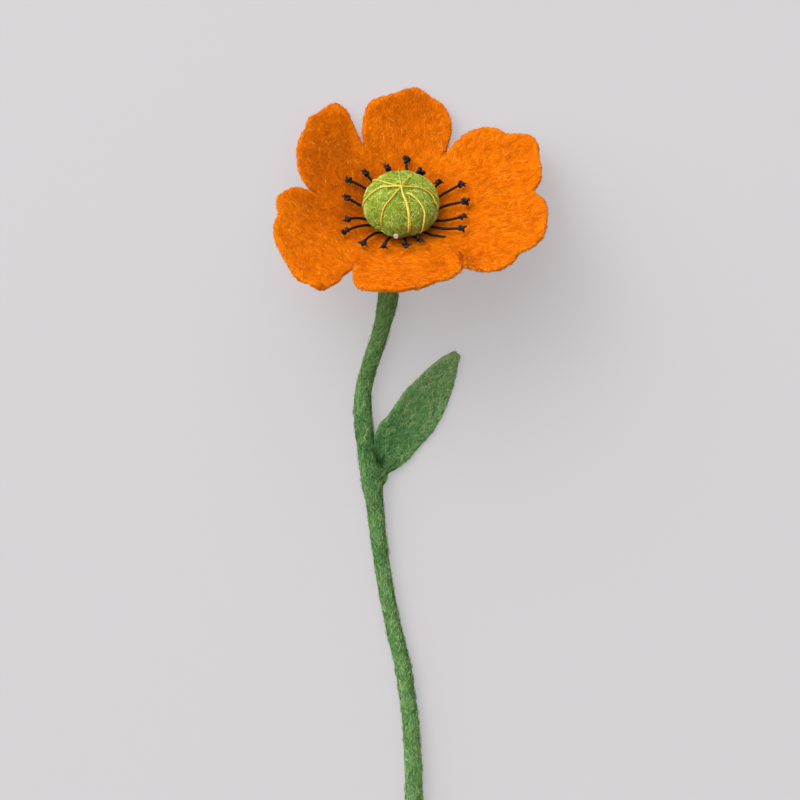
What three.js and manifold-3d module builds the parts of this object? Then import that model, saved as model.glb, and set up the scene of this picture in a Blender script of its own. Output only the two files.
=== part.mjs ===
// A poppy of wool felt on a wired stem, laid down on a flat surface.
//
// The bloom is one bowl-shaped sheet of orange felt cut into six lobes. Its axis leans towards +Y, so
// that the top lobe's rim and the stem carry it. Over the middle sits a green felt seed pod tied with
// yellow thread, on a bundle of knotted black threads. The stem is a felt sleeve on a bent wire, with
// one felt leaf. Millimetres, +Z up, the stem lies along Y, and the origin is the middle of the
// footprint.

import * as THREE from 'three';
import { mergeVertices } from 'three/addons/utils/BufferGeometryUtils.js';
import Module from 'manifold-3d';

const wasm = await Module();
wasm.setup();

// ---------------------------------------------------------------- driving dimensions

const GAP = 0.3;                        // left between pieces that touch

const BLOOM_TILT = 37.5;                // degrees that the bloom's axis leans from upright
const HUB = [-3.2, 125.1, 16.75];        // middle of the corolla, halfway through its felt
const BLOOM_REACH = 50;                 // nominal length of a lobe along its felt
const FELT = 2.0;                       // thickness of the corolla
const RIM_ROUND = 0.55;                 // how far the felt's rim bulges past its two faces
const HUB_SLOPE = 13;                   // degrees that the bowl rises at its middle
const HUB_HOLE = 1.8;                   // radius of the hole that the wire goes through
const LOBE_COLUMNS = 16;
const SHEET_ROWS = [0, 0.16, 0.34, 0.52, 0.7, 0.86, 1];

// Each lobe: how steep its rim is, how far its sides and tip lift out of the bowl, and its outline
// from one cut to the next as [direction in degrees, reach in mm].
const LOBES = [
  { name: 'right upper', rimSlope: 18, startLift: 0.6, endLift: -0.6, tipLift: 0,
    outline: [[5.5, 48.7], [10.5, 52], [15.5, 53.8], [22.5, 55], [28, 56.2], [32, 56.6],
      [35.2, 54.5], [37.5, 51.8], [43.5, 50.4], [49, 48.2], [53.2, 44.8], [55.2, 40], [57.5, 30.5]] },
  { name: 'top', rimSlope: 24, startLift: 0.6, endLift: 0.4, tipLift: 0.8,
    outline: [[57.5, 30.5], [60.7, 36.8], [63.8, 41.6], [67.8, 45.4], [72.3, 48], [77.5, 49.8],
      [82, 51.8], [86.5, 52.1], [91.5, 50.7], [97.5, 49.2], [103, 47.4], [107, 44.7],
      [110.6, 40.2], [115.8, 31.6]] },
  { name: 'left upper', rimSlope: 27, startLift: -0.4, endLift: -1.4, tipLift: -0.4,
    outline: [[115.8, 31.6], [116.2, 38], [116.6, 44.5], [117.2, 49.2], [119.8, 51.7], [123.2, 52.3],
      [128, 51.7], [134, 51], [141.7, 48.2], [150, 45.2], [158.5, 41], [164, 37.2], [167.8, 31.5]] },
  { name: 'left', rimSlope: 20, startLift: 1.6, endLift: -1.0, tipLift: 0,
    outline: [[167.8, 31.5], [169.6, 37.4], [171.8, 41.6], [176, 44.6], [182.5, 46.3],
      [190, 47.3], [197.5, 49.2], [205, 51.2], [213, 52.4], [221.5, 53.7], [228.6, 54.9],
      [233.3, 54.2], [236.6, 51.2], [238, 48], [237.8, 40.5], [238.4, 30.5]] },
  { name: 'bottom', rimSlope: 29, startLift: 1.0, endLift: 1.4, tipLift: -0.8,
    outline: [[238.4, 30.5], [243.3, 39], [249, 44.8], [255, 47], [261.7, 47], [268, 46.6],
      [274.5, 44.6], [282.5, 42.5], [291.5, 41.6], [299, 40.8], [304.8, 38.2], [310.4, 34.2], [317, 28.8]] },
  { name: 'right lower', rimSlope: 18, startLift: -1.7, endLift: 0.4, tipLift: 0.4,
    outline: [[317, 28.8], [314, 37], [313.6, 43], [316, 46.6], [320.5, 49], [327, 50.2],
      [332.5, 52.8], [338, 54.4], [344.3, 54.5], [350.5, 54], [356.2, 53.2], [361.2, 51.4],
      [365.5, 48.7]] },
];
const CUT_EASE = 6;                     // from a cut's end to where the rim is fully rounded

const POD_CENTRE = 10.8;                // height of the pod's middle above the corolla's middle
const POD_RADIUS = 13.6;                // at its equator
const POD_CROWN = 9.5;                  // height of its upper half
const POD_BELLY = 7.2;                  // and of its lower half, pressed flatter on the stamens
const POD_GROOVE = 0.9;                 // depth of the dents under the threads
const GROOVE_WIDTH = 9;                 // degrees to the side where a dent has faded
const POD_COLUMNS = 72;                 // a whole number of degrees apart, so that dents fall on them
const POD_ROWS = 12;
const SPOKES = [10, 60, 95, 145, 175, 230, 285, 320];  // directions of the threads, in degrees
const THREAD_RADIUS = 0.35;
const THREAD_SIDES = 6;
const THREAD_STEPS = 10;
const THREAD_START_LATITUDE = 89;
const THREAD_END_LATITUDE = -38;        // the threads tuck in under the pod
const BEAD_RADIUS = 1.0;
const BEAD_DIRECTION = 263;
const BEAD_LATITUDE = 2;

const STAMEN_RADIUS = 0.45;
const KNOT_RADIUS = 1.2;
const STAMEN_HEIGHT = 10;               // usual height of a knot above the corolla's middle
// Every stamen's way out, low between the felt and the pod's belly: [distance from the axis, height].
const STAMEN_WAY = [[3.0, 2.55], [6.0, 3.4], [9.5, 4.5], [12.6, 6.0]];
// Half a section of the tie that binds their roots round the wire: [distance from the axis, height].
const TIE_PROFILE = [[1.1, 1.8], [3.7, 2.25], [4.2, 2.65], [3.7, 3.15], [1.1, 3.2], [1.1, 1.8]];

const STAMEN_SIDES = 5;
const STAMEN_STEPS = 7;
const TAIL_LENGTH = 2.6;
const TAIL_RADIUS = 0.36;
const TAIL_SIDES = 5;

// Each stamen: [direction, spread from the axis, how much higher than usual its knot stands, tails].
const STAMENS = [
  [5, 23, 0.3, 0], [25, 24.2, 0.2, 2], [39, 16.6, 0.5, 2], [67, 16.4, 0.2, 0], [85, 21.8, 0.2, 1],
  [105, 18.7, 0, 1], [132, 19.7, 0.2, 1], [147, 22.3, 0.2, 2], [169, 19.6, 0.3, 1],
  [197, 20.3, 1.0, 2], [210, 23, 0.2, 1], [230.5, 21.1, -0.6, 2], [251.5, 19, 0, 2],
  [275, 18, 0, 2], [293, 16.7, 0, 2], [318, 20.2, 0.2, 0], [334, 24.1, 0.4, 1], [347, 22.4, 0.2, 1],
];

// The stem's middle line from the cut end to the start of the neck: [x, y, radius]. It lies flat.
const STEM_LINE = [
  [-0.7, -175, 3.2], [-0.6, -157, 3.2], [-0.3, -139, 3.2], [0.5, -117, 3.3], [1.1, -99.5, 3.3],
  [1.3, -81.4, 3.3], [1.2, -70.2, 3.15], [-0.2, -49.7, 3.0], [-2.5, -34, 2.95], [-5.1, -22.4, 2.9],
  [-8.1, -8.3, 2.85], [-10.5, 6.8, 2.85], [-12.4, 22.8, 3.1], [-14, 35, 3.75], [-15.8, 46.2, 3.4],
  [-16.9, 58, 3.35], [-16.9, 65.4, 3.0], [-14.8, 74.2, 2.95], [-11.8, 83, 2.95], [-9.6, 90.8, 3.1],
];
// The neck bends up from there to the corolla, square to its back.
const NECK_X = -7.9;
const NECK_RADIUS = 3.75;
const NECK_STEPS = 5;
const STEM_TOP = -1.0;                  // the felt's end, measured from the corolla's middle
const STEM_SIDES = 10;                  // one flat side faces down
const STEM_STEPS = 64;
const BORE_SIDES = 8;
const WIRE_RADIUS = 0.8;
const WIRE_SIDES = 6;
const WIRE_LAP = 1;                     // how far its straight end reaches back into the stem
const WIRE_IN_POD = 7;                  // how far the wire's end stands above the corolla's middle

const LEAF_FELT = 1.6;
const LEAF_RIM = 0.4;
// The leaf's two edges from its root to its tip: [x, y, height of the felt's middle].
const LEAF_LEFT_EDGE = [
  [-14.2, 44.5, 4.4], [-11, 53, 4.6], [-7.8, 56.6, 4.4], [-4.9, 60.3, 3.9], [-2.2, 64.5, 3.3],
  [1.0, 67.9, 2.8], [4.4, 71.1, 2.4], [7.4, 74, 2.1], [11.5, 77.2, 1.9], [15.9, 79.7, 1.8],
];
const LEAF_RIGHT_EDGE = [
  [-11.5, 29.5, 3.2], [-8.4, 35.6, 2.4], [-5.4, 38, 1.8], [-1.4, 41.2, 1.2], [2.7, 45.8, 0.9],
  [6.8, 50.4, 0.8], [10.1, 55.2, 0.8], [13.7, 63.4, 0.8], [15.9, 71, 1.0], [17.5, 78.3, 1.5],
];
const LEAF_COLUMNS = 6;
const LEAF_ROWS = 20;
const LEAF_DISH = 0.5;                  // how far the middle of the leaf sags below its edges

const ORANGE = 0xe26e08;
const POD_GREEN = 0x9a9f34;
const YELLOW = 0xe8c63a;
const BLACK = 0x1d1b1c;
const PEARL = 0xd9d2c8;
const STEM_GREEN = 0x5e7f4b;
const LEAF_GREEN = 0x4f7241;
const STEEL = 0x8d8f90;

// ---------------------------------------------------------------- helpers

const rad = THREE.MathUtils.degToRad;
const lerp = THREE.MathUtils.lerp;
const smooth = (t) => THREE.MathUtils.smoothstep(t, 0, 1);

function felt(color, roughness = 0.95) {
  return new THREE.MeshStandardMaterial({ color, roughness, metalness: 0 });
}

function part(name, geometry, material) {
  const mesh = new THREE.Mesh(geometry, material);
  mesh.name = name;
  return mesh;
}

// A geometry as positions only, with shared corners merged.
function welded(geometry) {
  const copy = geometry.clone();
  copy.deleteAttribute('normal');
  copy.deleteAttribute('uv');
  return mergeVertices(copy, 1e-4);
}

function toSolid(geometry) {
  const clean = welded(geometry);
  return new wasm.Manifold(new wasm.Mesh({
    numProp: 3,
    vertProperties: new Float32Array(clean.attributes.position.array),
    triVerts: new Uint32Array(clean.index.array),
  }));
}

function fromSolid(solid) {
  const mesh = solid.getMesh();
  const geometry = new THREE.BufferGeometry();
  geometry.setAttribute('position', new THREE.BufferAttribute(mesh.vertProperties, 3));
  geometry.setIndex(new THREE.BufferAttribute(mesh.triVerts, 1));
  return geometry;
}

function joined(geometries) {
  return fromSolid(geometries.map(toSolid).reduce((whole, piece) => whole.add(piece)));
}

function circleShape(radius, sides) {
  const points = [];
  for (let i = 0; i < sides; i += 1) {
    const angle = (2 * Math.PI * (i + 0.5)) / sides;
    points.push(new THREE.Vector2(radius * Math.cos(angle), radius * Math.sin(angle)));
  }
  return new THREE.Shape(points);
}

function tube(curve, radius, sides, steps) {
  return new THREE.ExtrudeGeometry(circleShape(radius, sides), { extrudePath: curve, steps });
}

// The edges that only one triangle uses, walked as closed loops of vertex numbers.
function rimLoops(index) {
  const next = new Map();
  const used = new Set();
  for (let i = 0; i < index.length; i += 3) {
    for (let k = 0; k < 3; k += 1) {
      used.add(`${index[i + k]}>${index[i + ((k + 1) % 3)]}`);
    }
  }
  for (const edge of used) {
    const [a, b] = edge.split('>').map(Number);
    if (!used.has(`${b}>${a}`)) next.set(a, b);
  }
  const loops = [];
  while (next.size) {
    const start = next.keys().next().value;
    const loop = [];
    for (let at = start; next.has(at);) {
      loop.push(at);
      const following = next.get(at);
      next.delete(at);
      at = following;
    }
    loops.push(loop);
  }
  return loops;
}

// Gives a sheet of triangles its thickness. A middle ridge rounds the rim outwards by 'rimRoundAt'.
function thicken(sheet, thickness, rimRoundAt) {
  sheet.computeVertexNormals();
  const middle = sheet.attributes.position;
  const normals = sheet.attributes.normal;
  const index = Array.from(sheet.index.array);
  const count = middle.count;
  const points = [];
  for (const side of [0.5, -0.5]) {
    for (let i = 0; i < count; i += 1) {
      const point = new THREE.Vector3().fromBufferAttribute(middle, i);
      const normal = new THREE.Vector3().fromBufferAttribute(normals, i);
      points.push(point.addScaledVector(normal, side * thickness));
    }
  }
  const faces = [];
  for (let i = 0; i < index.length; i += 3) {
    faces.push(index[i], index[i + 1], index[i + 2]);
    faces.push(count + index[i], count + index[i + 2], count + index[i + 1]);
  }
  for (const loop of rimLoops(index)) {
    const ridge = points.length;
    loop.forEach((at, i) => {
      const here = new THREE.Vector3().fromBufferAttribute(middle, at);
      const before = new THREE.Vector3().fromBufferAttribute(middle, loop.at(i - 1));
      const after = new THREE.Vector3().fromBufferAttribute(middle, loop[(i + 1) % loop.length]);
      const normal = new THREE.Vector3().fromBufferAttribute(normals, at);
      const along = after.sub(before).normalize();
      const round = rimRoundAt(here);
      points.push(here.addScaledVector(along.cross(normal).normalize(), round));
    });
    loop.forEach((at, i) => {
      const j = (i + 1) % loop.length;
      const following = loop[j];
      faces.push(at, ridge + i, following, following, ridge + i, ridge + j);
      faces.push(ridge + i, count + at, count + following, ridge + i, count + following, ridge + j);
    });
  }
  const solid = new THREE.BufferGeometry();
  solid.setAttribute('position', new THREE.Float32BufferAttribute(points.flatMap((p) => p.toArray()), 3));
  solid.setIndex(faces);
  return solid;
}

// A sheet from a grid of points, each square split along the same diagonal.
function gridSheet(columns, rows, pointAt) {
  const points = [];
  const faces = [];
  for (let j = 0; j <= rows; j += 1) {
    for (let i = 0; i <= columns; i += 1) points.push(...pointAt(i / columns, j / rows).toArray());
  }
  const at = (i, j) => j * (columns + 1) + i;
  for (let j = 0; j < rows; j += 1) {
    for (let i = 0; i < columns; i += 1) {
      faces.push(at(i, j), at(i + 1, j), at(i + 1, j + 1));
      faces.push(at(i, j), at(i + 1, j + 1), at(i, j + 1));
    }
  }
  const sheet = new THREE.BufferGeometry();
  sheet.setAttribute('position', new THREE.Float32BufferAttribute(points, 3));
  sheet.setIndex(faces);
  return sheet;
}

// ---------------------------------------------------------------- corolla

// A point of the bowl: 'reach' is measured along the felt, and the slope grows steadily outwards.
function bowlPoint(direction, reach, rimSlope, lift) {
  const startSlope = rad(HUB_SLOPE);
  const turn = (rad(rimSlope) - startSlope) / BLOOM_REACH;
  const slope = startSlope + turn * reach;
  const out = (Math.sin(slope) - Math.sin(startSlope)) / turn;
  const up = (Math.cos(startSlope) - Math.cos(slope)) / turn;
  return new THREE.Vector3(out * Math.cos(direction), out * Math.sin(direction), up + lift);
}

function lobeOutline(lobe) {
  const points = lobe.outline.map(([direction, reach]) => new THREE.Vector3(
    (reach - RIM_ROUND) * Math.cos(rad(direction)),
    (reach - RIM_ROUND) * Math.sin(rad(direction)),
    0,
  ));
  const spaced = new THREE.CatmullRomCurve3(points, false, 'centripetal').getSpacedPoints(LOBE_COLUMNS);
  const first = rad(lobe.outline[0][0]);
  return spaced.map((point) => {
    const turns = Math.round((first - Math.atan2(point.y, point.x)) / (2 * Math.PI));
    return [Math.atan2(point.y, point.x) + turns * 2 * Math.PI, Math.hypot(point.x, point.y)];
  });
}

function lobeSheet(lobe, before, after) {
  const outline = lobeOutline(lobe);
  const [firstAngle, cutReach] = outline[0];
  const [lastAngle, lastReach] = outline[LOBE_COLUMNS];
  return gridSheet(LOBE_COLUMNS, SHEET_ROWS.length - 1, (u, row) => {
    const v = SHEET_ROWS[Math.round(row * (SHEET_ROWS.length - 1))];
    const [rimAngle, rimReach] = outline[Math.round(u * LOBE_COLUMNS)];
    const reach = lerp(HUB_HOLE, rimReach, v);
    const cut = lerp(cutReach, lastReach, u);
    const pastCut = Math.max(0, reach - cut);
    const spread = v === 1 ? 1 : pastCut / Math.max(rimReach - cut, 1e-6);
    const direction = lerp(lerp(firstAngle, lastAngle, u), rimAngle, spread ** 1.3);
    const own = Math.sin(Math.PI * u) ** 2;
    const sideSlope = (u < 0.5 ? before.rimSlope : after.rimSlope) + lobe.rimSlope;
    const rimSlope = lerp(sideSlope / 2, lobe.rimSlope, own);
    const outside = pastCut / (BLOOM_REACH - cut);
    const startLift = lobe.startLift * Math.exp(-u / 0.2);
    const endLift = lobe.endLift * Math.exp(-(1 - u) / 0.2);
    const tipLift = lobe.tipLift * own * smooth((v - 0.6) / 0.4);
    return bowlPoint(direction, reach, rimSlope, (startLift + endLift) * outside + tipLift);
  });
}

function corollaGeometry() {
  const positions = [];
  const faces = [];
  LOBES.forEach((lobe, i) => {
    const sheet = lobeSheet(lobe, LOBES.at(i - 1), LOBES[(i + 1) % LOBES.length]);
    const offset = positions.length / 3;
    positions.push(...sheet.attributes.position.array);
    faces.push(...Array.from(sheet.index.array, (at) => at + offset));
  });
  const whole = new THREE.BufferGeometry();
  whole.setAttribute('position', new THREE.Float32BufferAttribute(positions, 3));
  whole.setIndex(faces);
  const cuts = LOBES.map(({ outline: [[direction, reach]], rimSlope }) => (
    bowlPoint(rad(direction), reach - RIM_ROUND, rimSlope, 0)));
  return thicken(mergeVertices(whole, 1e-3), FELT, (point) => {
    const nearest = Math.min(...cuts.map((cut) => cut.distanceTo(point)));
    return RIM_ROUND * Math.min(1, 0.1 + nearest / CUT_EASE);
  });
}

// ---------------------------------------------------------------- seed pod and its threads

// How deep the pod's skin is dented in one direction: deepest under each thread.
function podDent(direction) {
  const nearest = Math.min(...SPOKES.map((spoke) => {
    const away = Math.abs(THREE.MathUtils.euclideanModulo(direction - spoke + 180, 360) - 180);
    return away / GROOVE_WIDTH;
  }));
  return POD_GROOVE * Math.exp(-nearest * nearest);
}

// A point on the pod, or 'proud' above its skin.
function podPoint(direction, latitude, proud) {
  const level = Math.cos(rad(latitude));
  const dent = podDent(direction) * Math.min(1, level * 2.5);
  const out = (POD_RADIUS - dent + proud) * level;
  const halfHeight = latitude > 0 ? POD_CROWN : POD_BELLY;
  const up = (halfHeight - dent * 0.6 + proud) * Math.sin(rad(latitude));
  return new THREE.Vector3(out * Math.cos(rad(direction)), out * Math.sin(rad(direction)), up);
}

function podGeometry() {
  const ball = welded(new THREE.SphereGeometry(1, POD_COLUMNS, POD_ROWS).rotateX(Math.PI / 2));
  const position = ball.attributes.position;
  for (let i = 0; i < position.count; i += 1) {
    const point = new THREE.Vector3().fromBufferAttribute(position, i);
    const latitude = THREE.MathUtils.radToDeg(Math.asin(THREE.MathUtils.clamp(point.z, -1, 1)));
    const direction = THREE.MathUtils.radToDeg(Math.atan2(point.y, point.x));
    const skin = podPoint(direction, latitude, 0);
    position.setXYZ(i, skin.x, skin.y, skin.z);
  }
  const holeTop = WIRE_IN_POD + GAP - POD_CENTRE;
  const holeDepth = holeTop + POD_BELLY * 3;
  const drill = new THREE.CylinderGeometry(WIRE_RADIUS + GAP, WIRE_RADIUS + GAP, holeDepth, 10);
  drill.rotateX(Math.PI / 2).translate(0, 0, holeTop - holeDepth / 2);
  return fromSolid(toSolid(ball).subtract(toSolid(drill)));
}

function spokeCurve(direction) {
  const points = [];
  for (let i = 0; i <= THREAD_STEPS; i += 1) {
    const latitude = lerp(THREAD_START_LATITUDE, THREAD_END_LATITUDE, i / THREAD_STEPS);
    points.push(podPoint(direction, latitude, GAP + THREAD_RADIUS));
  }
  return new THREE.CatmullRomCurve3(points, false, 'centripetal');
}

function threadGeometry() {
  const spokes = SPOKES.map((direction) => (
    tube(spokeCurve(direction), THREAD_RADIUS, THREAD_SIDES, THREAD_STEPS)));
  const crossing = new THREE.IcosahedronGeometry(THREAD_RADIUS * 1.9, 1);
  crossing.scale(1, 1, 0.6).translate(0, 0, podPoint(SPOKES[0], 90, GAP + THREAD_RADIUS).z + 0.2);
  return joined([crossing, ...spokes]);
}

// ---------------------------------------------------------------- stamens

// From the tie, out under the pod's belly, then up to the knot.
function stamenCurve(direction, spread, extraHeight) {
  const top = STAMEN_HEIGHT + extraHeight;
  const [lastOut, lastUp] = STAMEN_WAY.at(-1);
  const rise = [lerp(lastOut, spread, 0.45), lerp(lastUp, top, 0.42)];
  const stops = [...STAMEN_WAY, rise, [spread, top]];
  const angle = rad(direction);
  return new THREE.CatmullRomCurve3(stops.map(([out, up]) => new THREE.Vector3(
    out * Math.cos(angle),
    out * Math.sin(angle),
    up,
  )), false, 'centripetal');
}

function stamenGeometries([direction, spread, extraHeight, tails]) {
  const curve = stamenCurve(direction, spread, extraHeight);
  const end = curve.getPoint(1);
  const heading = curve.getTangent(1);
  const side = new THREE.Vector3(-Math.sin(rad(direction)), Math.cos(rad(direction)), 0);
  const knot = new THREE.IcosahedronGeometry(KNOT_RADIUS, 1);
  knot.scale(1.15, 0.95, 0.9).rotateZ(rad(direction)).translate(end.x, end.y, end.z);
  const pieces = [tube(curve, STAMEN_RADIUS, STAMEN_SIDES, STAMEN_STEPS), knot];
  for (let i = 0; i < tails; i += 1) {
    const aside = tails === 1 ? TAIL_LENGTH * 0.15 : TAIL_LENGTH * (i - 0.5) * 0.9;
    const tip = end.clone().addScaledVector(heading, TAIL_LENGTH).addScaledVector(side, aside);
    pieces.push(tube(new THREE.LineCurve3(end, tip), TAIL_RADIUS, TAIL_SIDES, 1));
  }
  return pieces;
}

function stamensGeometry() {
  const profile = TIE_PROFILE.map(([out, up]) => new THREE.Vector2(out, up));
  const tie = new THREE.LatheGeometry(profile, 18).rotateX(Math.PI / 2);
  return joined([tie, ...STAMENS.flatMap(stamenGeometries)]);
}

// ---------------------------------------------------------------- stem, wire and leaf

const FLAT_SHARE = Math.cos(Math.PI / STEM_SIDES);   // how far a flat side is, per radius
const BLOOM_AXIS = new THREE.Vector3(0, Math.sin(rad(BLOOM_TILT)), Math.cos(rad(BLOOM_TILT)));

function onAxis(height) {
  return new THREE.Vector3(...HUB).addScaledVector(BLOOM_AXIS, height);
}

// The neck is an arc from lying flat to the bloom's axis.
function neckPoint(share) {
  const end = onAxis(STEM_TOP);
  const start = NECK_RADIUS * FLAT_SHARE;
  const wholeBend = rad(90 - BLOOM_TILT);
  const bendRadius = (end.z - start) / (1 - Math.cos(wholeBend));
  const bend = wholeBend * share;
  return new THREE.Vector3(
    lerp(NECK_X, HUB[0], smooth(share)),
    end.y - bendRadius * (Math.sin(wholeBend) - Math.sin(bend)),
    start + bendRadius * (1 - Math.cos(bend)),
  );
}

function stemCurve() {
  const points = STEM_LINE.map(([x, y, radius]) => new THREE.Vector3(x, y, radius * FLAT_SHARE));
  for (let i = 0; i <= NECK_STEPS; i += 1) points.push(neckPoint(i / NECK_STEPS));
  return new THREE.CatmullRomCurve3(points, false, 'centripetal');
}

function stemRadiusAt(y) {
  const stops = [...STEM_LINE.map(([, at, radius]) => [at, radius]), [neckPoint(0).y, NECK_RADIUS]];
  const next = stops.findIndex(([at]) => at >= y);
  if (next === 0) return stops[0][1];
  if (next < 0) return NECK_RADIUS;
  const [[lowY, lowRadius], [highY, highRadius]] = [stops[next - 1], stops[next]];
  return lerp(lowRadius, highRadius, smooth((y - lowY) / (highY - lowY)));
}

// A tube along the stem whose outer wall follows the stem's own radius, 'extra' outside it.
function stemTube(shape, extra) {
  const curve = stemCurve();
  const geometry = new THREE.ExtrudeGeometry(shape, { extrudePath: curve, steps: STEM_STEPS });
  const stations = curve.getSpacedPoints(STEM_STEPS);
  const position = geometry.attributes.position;
  for (let i = 0; i < position.count; i += 1) {
    const point = new THREE.Vector3().fromBufferAttribute(position, i);
    const station = stations.reduce((best, other) => (
      other.distanceToSquared(point) < best.distanceToSquared(point) ? other : best));
    const away = point.clone().sub(station);
    if (away.length() > NECK_RADIUS / 2) {
      point.copy(station).addScaledVector(away, (stemRadiusAt(station.y) + extra) / NECK_RADIUS);
      position.setXYZ(i, point.x, point.y, point.z);
    }
  }
  return geometry;
}

function stemGeometry() {
  const section = circleShape(NECK_RADIUS, STEM_SIDES);
  section.holes.push(circleShape(WIRE_RADIUS + GAP, BORE_SIDES));
  return welded(stemTube(section, 0));
}

function wireGeometry() {
  const inStem = tube(stemCurve(), WIRE_RADIUS, WIRE_SIDES, STEM_STEPS);
  const inBloom = new THREE.LineCurve3(onAxis(STEM_TOP - WIRE_LAP), onAxis(WIRE_IN_POD));
  return joined([inStem, tube(inBloom, WIRE_RADIUS, WIRE_SIDES, 1)]);
}

function leafGeometry() {
  const edges = [LEAF_LEFT_EDGE, LEAF_RIGHT_EDGE].map((stops) => new THREE.CatmullRomCurve3(
    stops.map((stop) => new THREE.Vector3(...stop)),
    false,
    'centripetal',
  ));
  const sheet = gridSheet(LEAF_COLUMNS, LEAF_ROWS, (u, v) => {
    const point = edges[0].getPointAt(v).lerp(edges[1].getPointAt(v), 1 - u);
    point.z -= LEAF_DISH * 4 * u * (1 - u) * Math.sin(Math.PI * v);
    return point;
  });
  const blade = thicken(sheet, LEAF_FELT, () => LEAF_RIM);
  const seat = stemTube(circleShape(NECK_RADIUS, STEM_SIDES), GAP);
  return fromSolid(toSolid(blade).subtract(toSolid(seat)));
}

// ---------------------------------------------------------------- assembly

const bloom = new THREE.Group();
bloom.position.set(...HUB);
bloom.rotation.x = -rad(BLOOM_TILT);

const pod = new THREE.Group();
pod.position.z = POD_CENTRE;
pod.add(part('seed_pod', podGeometry(), felt(POD_GREEN)));
pod.add(part('pod_threads', threadGeometry(), felt(YELLOW, 0.5)));

const bead = part('bead', new THREE.IcosahedronGeometry(BEAD_RADIUS, 1), felt(PEARL, 0.3));
bead.position.copy(podPoint(BEAD_DIRECTION, BEAD_LATITUDE, GAP + BEAD_RADIUS));
pod.add(bead);

bloom.add(part('corolla', corollaGeometry(), felt(ORANGE)));
bloom.add(part('stamens', stamensGeometry(), felt(BLACK, 0.4)));
bloom.add(pod);

const flower = new THREE.Group();
flower.add(bloom);
flower.add(part('stem_felt', stemGeometry(), felt(STEM_GREEN)));
flower.add(part('leaf', leafGeometry(), felt(LEAF_GREEN)));
flower.add(part('stem_wire', wireGeometry(), new THREE.MeshStandardMaterial({
  color: STEEL,
  roughness: 0.4,
  metalness: 1,
})));

// The origin is the middle of the footprint, at the level of the surface.
const extent = new THREE.Box3().setFromObject(flower, true);
const middle = extent.getCenter(new THREE.Vector3());
flower.position.set(-middle.x, -middle.y, -extent.min.z);

export default flower;
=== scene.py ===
"""A wool felt poppy on a wired stem, dressed round its CAD frame and laid on a pale floor.

Felt is built as what it is: a soft body with a nap of separate wool fibres felted onto it. The
bodies start from the frame's own solids, so every piece stays where the solids are.
"""

import math

import bmesh
import bpy
import numpy as np
from mathutils import Matrix, Vector, noise
from mathutils.bvhtree import BVHTree


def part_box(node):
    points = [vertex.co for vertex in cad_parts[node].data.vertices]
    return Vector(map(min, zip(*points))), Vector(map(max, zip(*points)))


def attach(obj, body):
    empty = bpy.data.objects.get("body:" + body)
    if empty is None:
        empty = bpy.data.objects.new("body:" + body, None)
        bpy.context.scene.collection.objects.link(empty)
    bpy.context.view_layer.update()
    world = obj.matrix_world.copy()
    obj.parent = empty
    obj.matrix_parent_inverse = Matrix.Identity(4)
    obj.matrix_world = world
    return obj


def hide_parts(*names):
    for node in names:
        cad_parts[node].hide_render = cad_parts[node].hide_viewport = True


bl_info = {
    "name": "Felt Poppy",
    "version": (1, 0, 0),
    "blender": (4, 5, 0),
    "location": "View3D > Sidebar > Felt Poppy",
    "description": "Builds a wet-felted wool poppy, with a needle-felted pod and knotted stamens",
    "category": "Object",
}

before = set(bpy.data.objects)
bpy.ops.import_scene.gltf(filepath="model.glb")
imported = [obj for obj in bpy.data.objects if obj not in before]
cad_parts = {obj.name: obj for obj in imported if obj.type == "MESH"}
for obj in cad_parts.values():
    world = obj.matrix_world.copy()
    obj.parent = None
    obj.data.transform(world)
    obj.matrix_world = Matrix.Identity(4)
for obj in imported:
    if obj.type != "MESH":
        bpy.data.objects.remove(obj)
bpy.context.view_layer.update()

MM = 0.001
ROOT = "root"

# ------------------------------------------------------------------ sizes, in mm unless it says

BLOOM_TILT = math.radians(37.5)  # how far the bloom's axis leans towards +Y
POD_CENTRE = 10.8  # mm, above the corolla's middle
POD_RADIUS = 13.6
POD_CROWN = 9.5
POD_BELLY = 7.2
POD_GROOVE = 0.9  # depth of the dents that the solid has under the threads
GROOVE_WIDTH = 9.0  # degrees
POLE_EASE = 2.5  # the dents fade out towards the poles
DENT_FILLED = 0.85  # share of the dents that the wool fills again
PINCH = 0.6  # mm that the threads draw the wool in
PINCH_WIDTH = 1.3
STITCH_DEPTH = 0.9  # mm that a stitched-down end goes into the wool
SPOKES = (10, 60, 95, 145, 175, 230, 285, 320)
GAP = 0.3  # mm left between solids that touch
CAGE_STEP = 0.35  # mm that a point of a felt body's cage is moved at most in one go
TABLE_GAP = 0.02  # mm that felt stays above the table
BEAD_RADIUS = 1.0
BEAD_WALL = 0.42  # radius of the ring's section round the bead's hole
BEAD_DIRECTION = 263
BEAD_LATITUDE = 2
STAMEN_HEIGHT = 10.0  # usual height of a knot above the corolla's middle
STAMEN_WAY = ((3.0, 2.55), (6.0, 3.4), (9.5, 4.5), (12.6, 6.0))  # out and up, under the pod
TWIST = 2.2  # mm along a thread for one turn of its plies
PLY_SWELL = 1.15  # a ply of stranded cotton is softer than a round one
WAX_SWELL = 1.42  # and the wax fills the hollows between the black plies
ARCH_FROM = 9.0  # how far out a stamen starts to bow
TIE_RADIUS = 4.05  # the thread that ties the stamens round the stem's end
TIE_HEIGHT = 2.68  # above the corolla's middle
TAIL_LENGTH = 1.35
TAIL_RADII = (0.2, 0.3, 0.29, 0.28, 0.29, 0.31, 0.3, 0.18)  # mm, from the knot to its cut
FILAMENT_RADIUS = 0.075  # a cut thread's filaments, drawn coarser than real to show
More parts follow.
